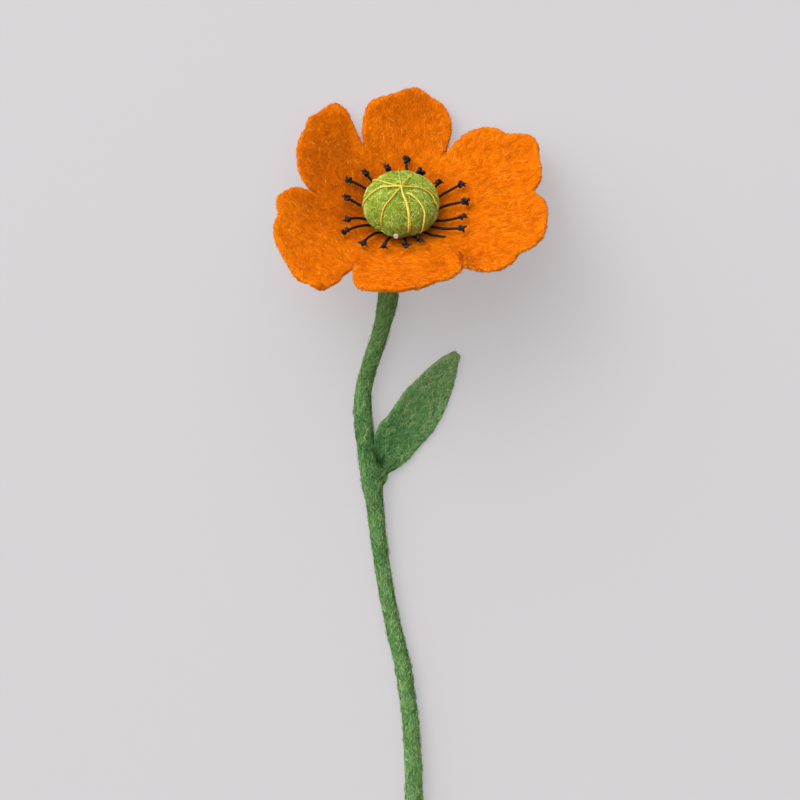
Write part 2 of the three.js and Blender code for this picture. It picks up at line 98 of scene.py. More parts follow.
# For each stamen: direction (degrees), reach, extra height, sideways and upward bow (mm), knot size
# against the usual one, and the directions that its tails point in. One with no knot ends in a fray.
STAMENS = (
    (5, 23, 0.3, 0.9, 0.3, 1.15, ()), (25.5, 23.6, 0.2, 0.4, 0.2, 0.95, (6, -32)),
    (39, 17.2, 0.6, 0, 0, 0.9, (-14, 196)), (66, 16.8, 0.4, 0, 0, 1.3, (110,)),
    (85, 21.8, 0.2, -0.5, 0.3, 1.1, (-48,)), (105, 18.7, 0, 0, 0, 0.95, (140,)),
    (129.5, 19.9, 0.2, -0.4, 0.2, 1.0, (150,)), (147, 22.1, 0.2, -1.5, 0.4, 0.95, (138,)),
    (169, 19.5, 0.3, 0.1, 0.2, 1.0, (150,)), (199.5, 20.1, 1.0, -1.0, 0.8, 0.95, (200, 20)),
    (210.5, 22.7, 0.2, -0.8, 0.8, 1.02, ()), (230.5, 21.1, -0.6, -0.9, 0.5, 0.95, (184, -44)),
    (251.5, 18.8, 0, -0.4, 0.4, 0.9, (218, -48)), (275, 17.8, 0, 0.3, 0.3, 0.95, (-4,)),
    (293, 16.7, 0, 0.3, 0.4, 0.9, (-16,)), (317.5, 21.2, 0.3, -0.7, 0, 0, ()),
    (334, 23.9, 0.4, -1.0, 0.1, 1.0, (24,)), (347, 22.3, 0.2, -0.9, 0.2, 0.95, (-2,)),
)
# Each run of thread on the pod: its thickness against the usual one, and the directions and
# latitudes, in degrees, that it passes. One that starts below the pole is stitched into the wool.
THREADS = (
    (0.9, ((8, 92), (5, 70), (6, 58), (2, 48), (358, 38), (350, 29), (345, 14), (344, -34))),
    (0.4, ((5, 62), (9, 50), (8, 40), (3, 30), (358, 16), (356, -34))),
    (0.5, ((62, 92), (62, 66), (64, 46), (66, -30))),
    (0.34, ((95, 92), (96, 62), (96, 40), (96, -30))),
    (0.9, ((152, 92), (154, 72), (144, 40), (140, 15), (138, -30))),
    (0.9, ((172, 92), (174, 74), (172, 58), (178, 46), (182, 32), (184, 5), (184, -30))),
    (0.9, ((234, 92), (234, 80), (232, 64), (230, 48), (234, 30), (238, 16), (240, -34))),
    (1.1, ((282, 92), (281, 74), (286, 60), (284, 38), (281, 12), (280, -36))),
    (0.75, ((288, 88), (285, 74), (288.2, 60), (286.4, 38), (283.5, 12), (283, -36))),
    (1.15, ((311, 80), (317, 72), (320.5, 61), (320.5, 50), (318, 39), (314, 29), (306, 13),
            (301, -8), (300, -36))),
)
# Painted shade in the fold between the leaf's root and the stem: place and radius in mm, and how
# much.
JOIN_PAINTED_SHADE = ((-11.2, 40.4, 2.2, -0.8), (-12.8, 44.5, 1.8, -0.6), (-13, 48, 1.5, -0.3))
LEAF_PULL = (-8.6, 33.6, 3.2, -0.5, 1.5)  # where the leaf was pulled: place, radius, how far
# The stem's middle line, in mm, from the cut end to the corolla.
STEM_LINE = (
    (-0.7, -175, 3), (-0.3, -139, 3), (0.5, -117, 3), (1.3, -81.4, 3), (1.2, -70.2, 3),
    (-0.2, -49.7, 3), (-2.5, -34, 3), (-5.1, -22.4, 3), (-8.1, -8.3, 3), (-10.5, 6.8, 3),
    (-12.4, 22.8, 3), (-14, 35, 3.4), (-15.8, 46.2, 3.2), (-16.9, 58, 3.2), (-16.9, 65.4, 3),
    (-14.8, 74.2, 3), (-11.8, 83, 3), (-9.6, 90.8, 3), (-7.9, 99, 3.6), (-6.2, 110, 5.5),
    (-4, 119, 10), (-3.2, 125, 17),
)
STEM_SUNK = 0.14  # mm that the stem's body stands back to make room for its nap
LEAF_ROOT = (-13.5, 34.0)
LEAF_TIP = (16.8, 79.0)
# Places along the edge of the leaf that is felted into the stem, in mm.
LEAF_ROOT_EDGE = ((-11.3, 35, 3), (-12, 39, 4), (-12.2, 43, 4), (-12.2, 47, 4.3), (-11.8, 50.5, 4.5))
WRAP_AT = (-10.9, 35.4, 2.7)  # the wool round the leaf's root, in mm
WRAP_SIZE = (2.7, 4.0, 2.3)
WRAP_TURN = -14  # degrees
WRAP_REACH = 6.5  # how far round it the fibres lie its way

# Which way the wool was laid in the corolla: direction from the hub and the grain's own, in degrees.
CORE_GRAIN = ((-85, -6), (-50, 5), (-20, 20), (30, 36), (60, 62), (90, 88), (145, 94), (200, 95),
              (234, 103), (248, 140), (275, 174))
# The rim as it was cut by hand: direction from the bloom's middle, and mm outwards of the solid's.
BLOOM_MIDDLE = (-2.9, 132.0)
RIM_TRIM = (
    (0, -0.3), (4, -0.7), (8, 0.7), (12, -0.2), (18, -0.6), (24, 0.4), (28, -0.2), (31, -1.6),
    (34, -1.7), (37, -0.6), (44, -1.6), (47.5, -2.6), (49.5, -4.4), (51, -4.6), (53.5, -2.4),
    (57, -0.6), (60, -0.1), (68, 0.1), (76, -0.2), (83, 0), (92, -0.9), (98, -0.3), (106, 0.7),
    (114, -0.5), (120, 0), (130, -1.3), (136, 0.2), (141, -0.9), (148, 0), (156, -0.8), (160, -0.5),
    (168, -1.2), (172, -0.5), (180, -0.3), (184, -1.7), (190, -0.5), (202, -1.2), (212, -0.5),
    (218, 0.2), (222, -0.4), (225, 0.4), (228, 2.0), (232, -0.1), (236, -0.9), (244, 0.5),
    (256, -0.8), (266, -0.7), (275, -0.3), (284, -0.1), (296, -0.6), (302, 0.1), (306, -0.6),
    (309, 0.1), (312, 0.7), (316, 3.2), (319, 1.6), (321, 1.0), (324, 0.8), (328, 0.5), (332, 0.1),
    (337, -1.6), (340, -0.5), (346, 0), (360, -0.3),
)
RIM_UP = (0.34, 0.94)  # how the bowl faces near its rim: inwards, and up
RIM_FROM = 24  # mm from the hub, nearer than any cut comes to it
# Where the rim was pulled while it was wet: place and radius, and how far, in mm.
RIM_PULL = (21.5, 110, 3.2, -2.7, -0.5)
TRIM_REACH = 7  # mm inside the rim where the trimming fades out
RIM_BINS = 240  # steps round the bloom that the rim's reach is kept in
CUT_ENDS = ((16.3, 115.6, 34.8), (17.0, 155.4, 5.6))  # mm, where two lobes' edges meet
# Painted shade and light on the corolla, with some darker or brighter wool mixed in: place and
# radius in mm, and how much. The spots paint the pod's shadow, shade where lobes overlap or turn
# from the light, and lighter cut edges.
CORE_PAINTED_SHADING = (
    (-29, 153, 12, -0.42), (-37, 147, 9, -0.12), (4, 168, 10, -0.3), (-4, 172, 7, -0.12),
    (0, 152, 12, -0.06), (-33, 133, 9, -0.22), (-17, 133, 8, -0.34), (30, 135, 18, 0.06),
    (15.5, 116.5, 1.8, -0.25), (19.2, 112.8, 2.4, -0.5), (20.6, 110.3, 2.2, -0.5),
    (15.5, 111.5, 2.6, 0.25), (-17.5, 112, 2.2, -0.3), (9, 149, 8, 0.1), (-38, 122, 9, -0.08),
    (-19, 131, 4.5, -0.35), (-17, 138, 4, -0.25), (-27, 139, 10, -0.2),
    (-10, 147.5, 6, -0.16), (22.5, 112.5, 4, -0.3), (9.5, 110.5, 5, -0.15), (2, 118.5, 4, 0.3),
    (10, 119.5, 3.5, 0.3), (-42, 126, 5, 0.12), (27, 133, 9, -0.1), (40, 153, 3.5, -0.22),
    (-37.5, 153, 3, 0.2), (-6, 165, 5, -0.12), (3.5, 162, 4, 0.12), (36, 109, 4, 0.1),
    (-22, 127, 4, -0.3), (-24, 121, 3, -0.2), (-30, 115, 5, -0.1), (-2, 97, 9, -0.05),
    (-36, 106.5, 3, -0.15), (12, 110, 4, -0.08),
    (-7, 118.5, 3, 0.25), (44.5, 130, 4, -0.12), (-16.5, 160, 2.5, 0.16), (-16.3, 153, 2.2, 0.16),
    (-17.5, 139, 3, -0.25), (-24, 126, 3, -0.25), (11, 136.5, 2.5, -0.3), (13, 140, 2.2, -0.2),
    (-16, 145, 2.5, -0.2), (-22.5, 140, 3, -0.12),
)

# The stage: the camera and the light.
EYE = (-3.607, 62.69, 1500)  # mm, straight above the floor
LENS = 187.5  # mm, on a sensor 36 mm wide
DOME_FROM = (-0.47, 0.62, 0.63)  # the softly lit dome is brightest over the upper left
DOME_POWER = 4.0  # how narrow that bright part is
DOME_KEY = 3.5  # its strength, and next that of the rest of the dome
DOME_FILL = 0.36
TABLE_GLOW = 0.38  # strength of the light that comes up through the floor
LAMP_POWER = 3.0  # W, a softbox on the same side
LAMP_SIZE = 0.7  # m across
LAMP_AWAY = 1.3  # m from the middle of the table


# ------------------------------------------------------------------ small helpers

def linear(hex_code):
    """An sRGB hex colour as linear RGBA."""
    parts = [int(hex_code[i:i + 2], 16) / 255 for i in (0, 2, 4)]
    return tuple(c / 12.92 if c <= 0.04045 else ((c + 0.055) / 1.055) ** 2.4 for c in parts) + (1.0,)


def unit(vectors):
    return vectors / np.maximum(np.linalg.norm(vectors, axis=-1, keepdims=True), 1e-12)


def from_bloom(points, hub):
    """Points in the bloom's own frame, in mm, as row-frame metres."""
    p = np.asarray(points, float)
    c, s = math.cos(BLOOM_TILT), math.sin(BLOOM_TILT)
    turned = np.stack([p[..., 0], p[..., 1] * c + p[..., 2] * s, p[..., 2] * c - p[..., 1] * s], -1)
    return turned * MM + hub


def to_bloom(points, hub):
    p = (np.asarray(points, float) - hub) / MM
    c, s = math.cos(BLOOM_TILT), math.sin(BLOOM_TILT)
    return np.stack([p[..., 0], p[..., 1] * c - p[..., 2] * s, p[..., 2] * c + p[..., 1] * s], -1)


def pod_dent(direction):
    away = np.abs((np.asarray(direction, float)[..., None] - np.array(SPOKES) + 180) % 360 - 180)
    return POD_GROOVE * np.exp(-((away.min(-1) / GROOVE_WIDTH) ** 2))


def pod_point(direction, latitude, proud):
    """A point 'proud' mm above the pod's skin, in the bloom's frame."""
    direction, latitude = np.broadcast_arrays(np.asarray(direction, float),
                                              np.asarray(latitude, float))
    level = np.cos(np.radians(latitude))
    dent = pod_dent(direction) * np.minimum(1, level * POLE_EASE)
    out = (POD_RADIUS - dent + proud) * level
    half = np.where(latitude > 0, POD_CROWN, POD_BELLY)
    up = (half - dent * 0.6 + proud) * np.sin(np.radians(latitude)) + POD_CENTRE
    angle = np.radians(direction)
    return np.stack([out * np.cos(angle), out * np.sin(angle), up], -1)


def hub_place():
    """The corolla's middle in the row frame, worked back from the bead, whose place is known."""
    low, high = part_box("bead")
    place = np.array((low + high) / 2)
    inside = pod_point(BEAD_DIRECTION, BEAD_LATITUDE, GAP + BEAD_RADIUS)
    return place - from_bloom(inside, np.zeros(3))


HUB = hub_place()


def as_mesh(bm, name):
    """The mesh of a bmesh, which is freed."""
    mesh = bpy.data.meshes.new(name)
    bm.to_mesh(mesh)
    bm.free()
    return mesh


def points_of(mesh):
    co = np.zeros(len(mesh.vertices) * 3, np.float32)
    mesh.vertices.foreach_get("co", co)
    return co.reshape(-1, 3).astype(float)


def normals_of(mesh):
    no = np.zeros(len(mesh.vertices) * 3, np.float32)
    mesh.vertex_normals.foreach_get("vector", no)
    return no.reshape(-1, 3).astype(float)


def move_to(mesh, places):
    """Puts a mesh's vertices at new places."""
    mesh.vertices.foreach_set("co", places.astype(np.float32).ravel())
    mesh.update()


def distance_along(path):
    return np.concatenate([[0], np.cumsum(np.linalg.norm(np.diff(path, axis=0), axis=1))])


def catmull(points, count):
    """'count' points spaced evenly along a smooth line through the given ones."""
    p = np.asarray(points, float)
    padded = np.vstack([2 * p[0] - p[1], p, 2 * p[-1] - p[-2]])
    fine = []
    for i in range(1, len(padded) - 2):
        a, b, c, d = padded[i - 1:i + 3]
        for t in np.linspace(0, 1, 12, endpoint=False):
            fine.append(0.5 * (2 * b + (c - a) * t + (2 * a - 5 * b + 4 * c - d) * t * t
                               + (3 * b - a - 3 * c + d) * t ** 3))
    fine = np.vstack([fine, p[-1]])
    along = distance_along(fine)
    at = np.linspace(0, along[-1], count)
    return np.stack([np.interp(at, along, fine[:, k]) for k in range(3)], 1)


def settle(obj, slot, *nodes):
    """Links a piece, lets it ride on the part, and hides the solids that it stands for."""
    bpy.context.scene.collection.objects.link(obj)
    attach(obj, ROOT)
    if nodes:
        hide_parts(*nodes)
    return obj


def body_of(mesh, material, slot, *nodes):
    """A mesh and its material as a settled piece of the same name."""
    mesh.materials.append(material)
    return settle(bpy.data.objects.new(mesh.name, mesh), slot, *nodes)


# ------------------------------------------------------------------ strands: fibres, threads, cords

def prism(sides, rings):
    """A closed strand of 'rings' rings with a pointed cap at both ends, standing on Z."""
    bm = bmesh.new()
    bmesh.ops.create_cone(bm, cap_ends=True, cap_tris=False, segments=sides,
                          radius1=1, radius2=1, depth=rings - 1)
    long_edges = [e for e in bm.edges if abs(e.verts[0].co.z - e.verts[1].co.z) > 0.5]
    if rings > 2:
        bmesh.ops.subdivide_edges(bm, edges=long_edges, cuts=rings - 2, use_grid_fill=True)
    caps = [f for f in bm.faces if len({round(v.co.z, 3) for v in f.verts}) == 1]
    poked = bmesh.ops.poke(bm, faces=caps)
    for v in poked["verts"]:
        v.co.z += math.copysign(1, v.co.z)
    bmesh.ops.translate(bm, verts=bm.verts, vec=(0, 0, (rings + 1) / 2))
    bmesh.ops.recalc_face_normals(bm, faces=bm.faces)
    packed = as_mesh(bm, "prism")  # its vertices and faces numbered without gaps
    bm = bmesh.new()
    bm.from_mesh(packed)
    bpy.data.meshes.remove(packed)
    return bm


def carried(paths):
    """Two ways aside at each stop of some paths, carried along them without twist."""
    forward = unit(np.gradient(paths, axis=1))
    aside = np.zeros_like(paths)
    helper = np.where(np.abs(forward[:, 0, 2:3]) < 0.8, [[0.0, 0.0, 1.0]], [[1.0, 0.0, 0.0]])
    aside[:, 0] = unit(np.cross(forward[:, 0], helper))
    for i in range(1, paths.shape[1]):
        last = aside[:, i - 1]
        aside[:, i] = unit(last - (last * forward[:, i]).sum(-1, keepdims=True) * forward[:, i])
    return aside, np.cross(forward, aside)


def strands(paths, radii, sides, tones):
    """A mesh of many closed strands, each bent along its own path, with points for ends.

    'tones' numbers the material of each.
    """
    paths = np.asarray(paths, float)
    copies, stops = paths.shape[:2]
    radii = np.broadcast_to(np.asarray(radii, float), (copies, stops))
    bm = prism(sides, stops - 2)
    shape = np.array([v.co for v in bm.verts])
    counts = len(bm.verts), len(bm.edges), len(bm.faces)
    made = 1
    while made < copies:
        take = min(made, copies - made)
        geom = [part[i] for part, n in ((bm.verts[:], counts[0]), (bm.edges[:], counts[1]),
                                        (bm.faces[:], counts[2])) for i in range(take * n)]
        bmesh.ops.duplicate(bm, geom=geom)
        made += take
    mesh = as_mesh(bm, "strands")
    aside, other = carried(paths)
    ring = np.rint(shape[:, 2]).astype(int)
    move_to(mesh, paths[:, ring] + (radii[:, ring, None] * (shape[None, :, 0:1] * aside[:, ring]
                                                            + shape[None, :, 1:2] * other[:, ring])))
    mesh.polygons.foreach_set("material_index", np.repeat(np.asarray(tones, np.int32), counts[2]))
    mesh.shade_smooth()
    return mesh


def joined(name, meshes, materials):
    """Several meshes as one object, with the materials that their faces number."""
    bm = bmesh.new()
    for mesh in meshes:
        bm.from_mesh(mesh)
        bpy.data.meshes.remove(mesh)
    whole = as_mesh(bm, name)
    for material in materials:
        whole.materials.append(material)
    return bpy.data.objects.new(name, whole)


def plied(path, radius, pitch, phase):
    """The paths of the two plies that twist round one thread's path, and a ply's radius."""
    radius = np.broadcast_to(radius, len(path))
    aside, other = (ways[0] for ways in carried(path[None]))
    ply = radius * 0.5
    out = []
    for k in range(2):
        turn = 2 * math.pi * (distance_along(path) / pitch + k / 2) + phase
        offset = np.cos(turn)[:, None] * aside + np.sin(turn)[:, None] * other
        out.append(path + (radius - ply)[:, None] * offset)
    return np.array(out), ply


# ------------------------------------------------------------------ felt bodies and their nap

def smoothed(obj, levels):
    """The mesh that a Subdivision Surface makes of an object."""
    smoother = obj.modifiers.new("smooth", "SUBSURF")
    smoother.levels = smoother.render_levels = levels
    mesh = evaluated(obj)
    obj.modifiers.clear()
    return mesh


def evaluated(obj):
    bpy.context.view_layer.update()
    return bpy.data.meshes.new_from_object(obj.evaluated_get(bpy.context.evaluated_depsgraph_get()))


def felt_body(node, name, levels):
    """A smooth skin through the vertices of a node's solid, started from a merged copy of it."""
    bm = bmesh.new()
    bm.from_mesh(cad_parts[node].data)
    bmesh.ops.remove_doubles(bm, verts=bm.verts, dist=1e-6)
    bmesh.ops.join_triangles(bm, faces=bm.faces, angle_face_threshold=0.6,
                             angle_shape_threshold=1.6)
    rough = as_mesh(bm, name)
    draft = bpy.data.objects.new(name + "_draft", rough)
    bpy.context.scene.collection.objects.link(draft)
    wanted = points_of(rough)
    for _ in range(3):  # smoothing shrinks, so the cage grows to suit
        trial = smoothed(draft, 1)
        short = (wanted - points_of(trial)[:len(wanted)]) * 0.8
        far = np.linalg.norm(short, axis=1)
        short *= np.minimum(1, CAGE_STEP * MM / np.maximum(far, 1e-9))[:, None]
        move_to(rough, points_of(rough) + short)
        bpy.data.meshes.remove(trial)
    mesh = smoothed(draft, levels)
    bpy.data.objects.remove(draft)
    bpy.data.meshes.remove(rough)
    mesh.name = name
    mesh.shade_smooth()
    mesh.materials.clear()
    return mesh


def lumps(points, size, seed):
    """Smooth noise from -1 to 1 with lumps of about 'size' metres."""
    shift = Vector((seed * 13.7, seed * 5.1, seed * 9.3))
    return np.array([noise.noise(Vector(p) / size + shift) for p in points])


def felted(mesh, lift, size, seed):
    """Moves a body's skin in and out by the soft lumps that felting leaves."""
    co = points_of(mesh)
    rise = lumps(co, size, seed) + 0.5 * lumps(co, size * 0.4, seed + 1)
    moved = co + normals_of(mesh) * (rise * lift)[:, None]
    moved[:, 2] = np.maximum(moved[:, 2], TABLE_GAP * MM)
    move_to(mesh, moved)


def eased(mesh, places, wide, rounds):
    """Smooths a body within 'wide' mm of a few tight corners, where its skin would cross itself."""
    bm = bmesh.new()
    bm.from_mesh(mesh)
    tight = [v for v in bm.verts if min((v.co / MM - Vector(p)).length for p in places) < wide]
    for _ in range(rounds):
        bmesh.ops.smooth_vert(bm, verts=tight, factor=0.5,
                              use_axis_x=True, use_axis_y=True, use_axis_z=True)
    bm.to_mesh(mesh)
    bm.free()


class Skin:
    """A felt surface that fibres are laid on: random places, and the nearest place to a point."""

    def __init__(self, *meshes):
        points, triangles = [], []
        for mesh in meshes:
            mesh.calc_loop_triangles()
            corners = np.zeros(len(mesh.loop_triangles) * 3, np.int32)
            mesh.loop_triangles.foreach_get("vertices", corners)
            triangles.append(corners.reshape(-1, 3) + sum(len(p) for p in points))
            points.append(points_of(mesh))
        self.points, self.triangles = np.vstack(points), np.vstack(triangles)
        self.tree = BVHTree.FromPolygons(self.points.tolist(), self.triangles.tolist(),
                                         all_triangles=True)

    def places(self, count, rng, keep=None):
        """Places spread evenly over the skin, with their normals, where 'keep' allows them."""
        a, b, c = (self.points[self.triangles[:, i]] for i in range(3))
        cross = np.cross(b - a, c - a)
        weight = np.linalg.norm(cross, axis=1)
        normal = unit(cross)
        if keep is not None:
            weight = weight * keep((a + b + c) / 3, normal)
        pick = rng.choice(len(weight), count, p=weight / weight.sum())
        u, v = rng.random((2, count, 1))
        u, v = np.where(u + v > 1, 1 - u, u), np.where(u + v > 1, 1 - v, v)
        return a[pick] + u * (b[pick] - a[pick]) + v * (c[pick] - a[pick]), normal[pick]

    def nearest(self, points):
        flat = points.reshape(-1, 3)
        place, normal = np.empty_like(flat), np.empty_like(flat)
        for i, p in enumerate(flat):
            found, facing, _, _ = self.tree.find_nearest(p)
            place[i], normal[i] = found, facing
        return place.reshape(points.shape), normal.reshape(points.shape)


def nap(skin, count, seed, grain, tone, length, radius, lift, scatter, curl, keep=None,
        loose=0.04, loose_lift=0.5 * MM, stops=4):
    """Wool fibres felted onto a skin, each a thin spindle that starts out along the grain.

    'length' is a range, 'scatter' (degrees) and 'curl' (radians in all) are spreads, 'lift' is how
    high a fibre's middle stands, and the loose ones stand higher and may end in the air.
    """
    rng = np.random.default_rng(seed)
    at, normal = skin.places(count, rng, keep)
    along = grain(at)
    along = unit(along - (along * normal).sum(1, keepdims=True) * normal)
    aside = np.cross(normal, along)
    turn = np.radians(rng.normal(0, scatter, count))[:, None]
    heading = np.cos(turn) * along + np.sin(turn) * aside
    cross = np.cross(normal, heading)
    span = rng.uniform(*length, count)[:, None]
    bend = rng.normal(0, curl, count)[:, None]
    bend = np.where(np.abs(bend) < 0.05, 0.05, bend)
    t = np.linspace(-0.5, 0.5, stops)[None, :]
    line = (at[:, None] + heading[:, None] * (span * np.sin(bend * t) / bend)[..., None]
            + cross[:, None] * (span * (1 - np.cos(bend * t)) / bend)[..., None])
    line, facing = skin.nearest(line)
    stray = rng.random(count) < loose
    high = np.where(stray, loose_lift * rng.uniform(0.4, 1, count),
                    rng.uniform(0.25, 1, count) * lift)[:, None]
    rise = np.tile(np.cos(np.pi * t * 0.7), (count, 1))
    rise[:, 0] = rise[:, -1] = -0.35
    free = stray & (rng.random(count) < 0.6)
    rise[free] = (0.5 + t)[0] ** 0.7 * 1.2 - 0.1
    line = line + facing * (high * rise)[..., None]
    line[..., 2] = np.maximum(line[..., 2], 1.3 * radius)  # no fibre goes into the table
    taper = np.interp(np.abs(t[0]), (0, 0.3, 0.5), (1, 0.9, 0.3))
    return strands(line, radius * rng.uniform(0.7, 1.3, count)[:, None] * taper, 3, tone(at, rng))


def nap_piece(name, slot, tones, *laid, **how):
    """A nap and the materials of its tones as a settled piece."""
    return settle(joined(name, [nap(*laid, **how)], tones), slot)


def tones_by(weights, patch, seed, extra=None, spread=1.0, pale=0.0):
    """Chooses each fibre's tone by chance, pushed up or down in patches of 'patch' metres.

    'pale' is the share that takes the tone after the last weight, wherever it lies.
    """
    steps = np.cumsum(weights) / sum(weights)

    def choose(points, rng):
        pushed = 0.5 + spread * (rng.random(len(points)) - 0.5) + 0.3 * lumps(points, patch, seed)
        if extra is not None:
            pushed = pushed + extra(points)
        tone = np.searchsorted(steps[:-1], np.clip(pushed, 0, 0.999), side="right")
        return np.where(rng.random(len(points)) < pale, len(weights), tone) if pale else tone

    return choose


# ------------------------------------------------------------------ materials

def add_node(tree, kind, settings=None, values=None, links=None):
    node = tree.nodes.new(kind)
    for key, value in (settings or {}).items():
        setattr(node, key, value)
    for key, value in (values or {}).items():
        node.inputs[key].default_value = value
    for key, socket in (links or {}).items():
        tree.links.new(socket, node.inputs[key])
    return node


def shaded(name, values):
    """A material with one Principled shader, and its node tree and shader."""
    material = bpy.data.materials.new(name)
    material.use_nodes = True
    tree = material.node_tree
    tree.nodes.clear()
    shader = add_node(tree, "ShaderNodeBsdfPrincipled", values=values)
    add_node(tree, "ShaderNodeOutputMaterial", links={"Surface": shader.outputs["BSDF"]})
    return material, tree, shader


def spun(name, values, dark, light, grain_mm, relief_mm):
    """Spun fibre or glaze: its two tones drift along it, with the fine relief of its surface."""
    material, tree, shader = shaded(name, values)
    place = add_node(tree, "ShaderNodeTexCoord").outputs["Object"]
    drift = add_node(tree, "ShaderNodeTexNoise", values={
        "Scale": 1 / (grain_mm * MM), "Detail": 3.0, "Roughness": 0.65}, links={"Vector": place})
    ramp = add_node(tree, "ShaderNodeValToRGB", links={"Fac": drift.outputs["Fac"]})
    for stop, (where, colour) in zip(ramp.color_ramp.elements, ((0.36, dark), (0.62, light))):
        stop.position, stop.color = where, colour
    bump = add_node(tree, "ShaderNodeBump", values={"Strength": 0.5, "Distance": relief_mm * MM},
                    links={"Height": drift.outputs["Fac"]})
    tree.links.new(ramp.outputs["Color"], shader.inputs["Base Color"])
    tree.links.new(bump.outputs["Normal"], shader.inputs["Normal"])
    return material


def wool_fibre(name, colour):
    """A single dyed wool fibre: dull, with the faint sheen of its scales.

    Real wool is about 0.02 mm thick and would not show at this distance: the fibres are drawn
    0.13 to 0.18 mm thick, so that the eye still sees which way the felt's surface was rubbed.
    """
    return shaded(name, {
        "Base Color": colour, "Roughness": 0.9, "IOR": 1.5, "Specular IOR Level": 0.06,
        "Sheen Weight": 0.08, "Sheen Roughness": 0.5, "Sheen Tint": colour,
    })[0]


def fibre_tones(family, **tones):
    """A fibre material for each tone, given as a hex code or as a colour from the panel."""
    return [wool_fibre(f"{family}, {name.replace('_', ' ')}",
                       linear(tone) if isinstance(tone, str) else tone)
            for name, tone in tones.items()]


def wool_felt(name, deep, middle, light, patch_mm, fibre_mm, dye_and_painted_shading=None):
    """Felted wool under its nap: blended patches, and the fine tangle of the fibres as bump.

    Its last argument names the vertex numbers that make it lighter or deeper in places: dyed wool,
    and painted shade and light.
    """
    material, tree, shader = shaded(name, {
        "Roughness": 0.95, "IOR": 1.5, "Specular IOR Level": 0.05,
        "Sheen Weight": 0.08, "Sheen Roughness": 0.6, "Sheen Tint": light,
    })
    place = add_node(tree, "ShaderNodeTexCoord").outputs["Object"]
    patches = add_node(tree, "ShaderNodeTexNoise", values={
        "Scale": 1 / (patch_mm * MM), "Detail": 3.0, "Roughness": 0.6}, links={"Vector": place})
    tangle = add_node(tree, "ShaderNodeTexNoise", values={
        "Scale": 1 / (fibre_mm * MM), "Detail": 2.0, "Roughness": 0.7, "Distortion": 1.5},
        links={"Vector": place})
    both = add_node(tree, "ShaderNodeMath", {"operation": "MULTIPLY_ADD"},
                    {1: 0.6, 2: -0.05}, {0: patches.outputs["Fac"]})
    mixed = add_node(tree, "ShaderNodeMath", {"operation": "MULTIPLY_ADD"}, {1: 0.5},
                     {0: tangle.outputs["Fac"], 2: both.outputs[0]})
    if dye_and_painted_shading:
        layer = add_node(tree, "ShaderNodeAttribute", {"attribute_name": dye_and_painted_shading})
        mixed = add_node(tree, "ShaderNodeMath", {"operation": "MULTIPLY_ADD"}, {1: 0.25},
                         {0: layer.outputs["Fac"], 2: mixed.outputs[0]})
    ramp = add_node(tree, "ShaderNodeValToRGB", links={"Fac": mixed.outputs[0]})
    ramp.color_ramp.elements[0].position = 0.38
    ramp.color_ramp.elements[0].color = deep
    ramp.color_ramp.elements[1].position = 0.68
    ramp.color_ramp.elements[1].color = light
    ramp.color_ramp.elements.new(0.52).color = middle
    bump = add_node(tree, "ShaderNodeBump", values={"Strength": 0.6, "Distance": 0.15 * MM},
                    links={"Height": tangle.outputs["Fac"]})
    tree.links.new(ramp.outputs["Color"], shader.inputs["Base Color"])
    tree.links.new(bump.outputs["Normal"], shader.inputs["Normal"])
    return material


# ------------------------------------------------------------------ sizes and colours to change

class PoppySizes(bpy.types.PropertyGroup):
    """Sizes of the wool and the threads."""

    fibre_radius: bpy.props.FloatProperty(
        name="Fibre radius",
        description="Half the thickness of a drawn wool fibre, coarser than real",
        default=0.065 * MM, min=0.02 * MM, unit="LENGTH", precision=5)
    nap_lift: bpy.props.FloatProperty(
        name="Nap lift", description="How high the fibres stand out of the felt",
        default=0.06 * MM, min=0, unit="LENGTH", precision=5)
    thread_radius: bpy.props.FloatProperty(
        name="Pod thread radius", description="Half the thickness of the thread round the pod",
        default=0.33 * MM, min=0.1 * MM, unit="LENGTH", precision=5)
    stamen_radius: bpy.props.FloatProperty(
        name="Stamen thread radius", description="Half the thickness of a stamen's waxed thread",
        default=0.45 * MM, min=0.1 * MM, unit="LENGTH", precision=5)


class PoppyColours(bpy.types.PropertyGroup):
    """Dye colours of the wool and the threads."""

    petal: bpy.props.FloatVectorProperty(
        name="Corolla wool", description="Main dye of the orange felt", subtype="COLOR", size=4,
        min=0, max=1, default=linear("EC7A04"))
    petal_deep: bpy.props.FloatVectorProperty(
        name="Corolla wool, deep", description="Burnt orange fibres blended in", subtype="COLOR",
        size=4, min=0, max=1, default=linear("D26602"))
    petal_light: bpy.props.FloatVectorProperty(
        name="Corolla wool, light", description="Bright orange fibres blended in", subtype="COLOR",
        size=4, min=0, max=1, default=linear("FC9612"))
    pod: bpy.props.FloatVectorProperty(
        name="Pod wool", description="Main dye of the pod's green felt", subtype="COLOR", size=4,
        min=0, max=1, default=linear("A9B438"))
    stem: bpy.props.FloatVectorProperty(
        name="Stem wool", description="Main dye of the stem and leaf felt", subtype="COLOR", size=4,
        min=0, max=1, default=linear("709A57"))
    thread: bpy.props.FloatVectorProperty(
        name="Pod thread", description="Dye of the embroidery thread", subtype="COLOR", size=4,
        min=0, max=1, default=linear("EED436"))
    floor: bpy.props.FloatVectorProperty(
        name="Floor", description="Plain pale floor", subtype="COLOR", size=4,
        min=0, max=1, default=linear("918E8F"))


# ------------------------------------------------------------------ pieces

def round_spot(points, x, y, wide):
    """1 at a place in plan, falling off softly over 'wide' mm round it."""
    return np.exp(-((points[:, :2] / MM - (x, y)) ** 2).sum(1) / wide ** 2)


def spots(points, table):
    """The shade that a table of soft round spots adds at each point."""
    return sum(much * round_spot(points, x, y, wide) for x, y, wide, much in table)


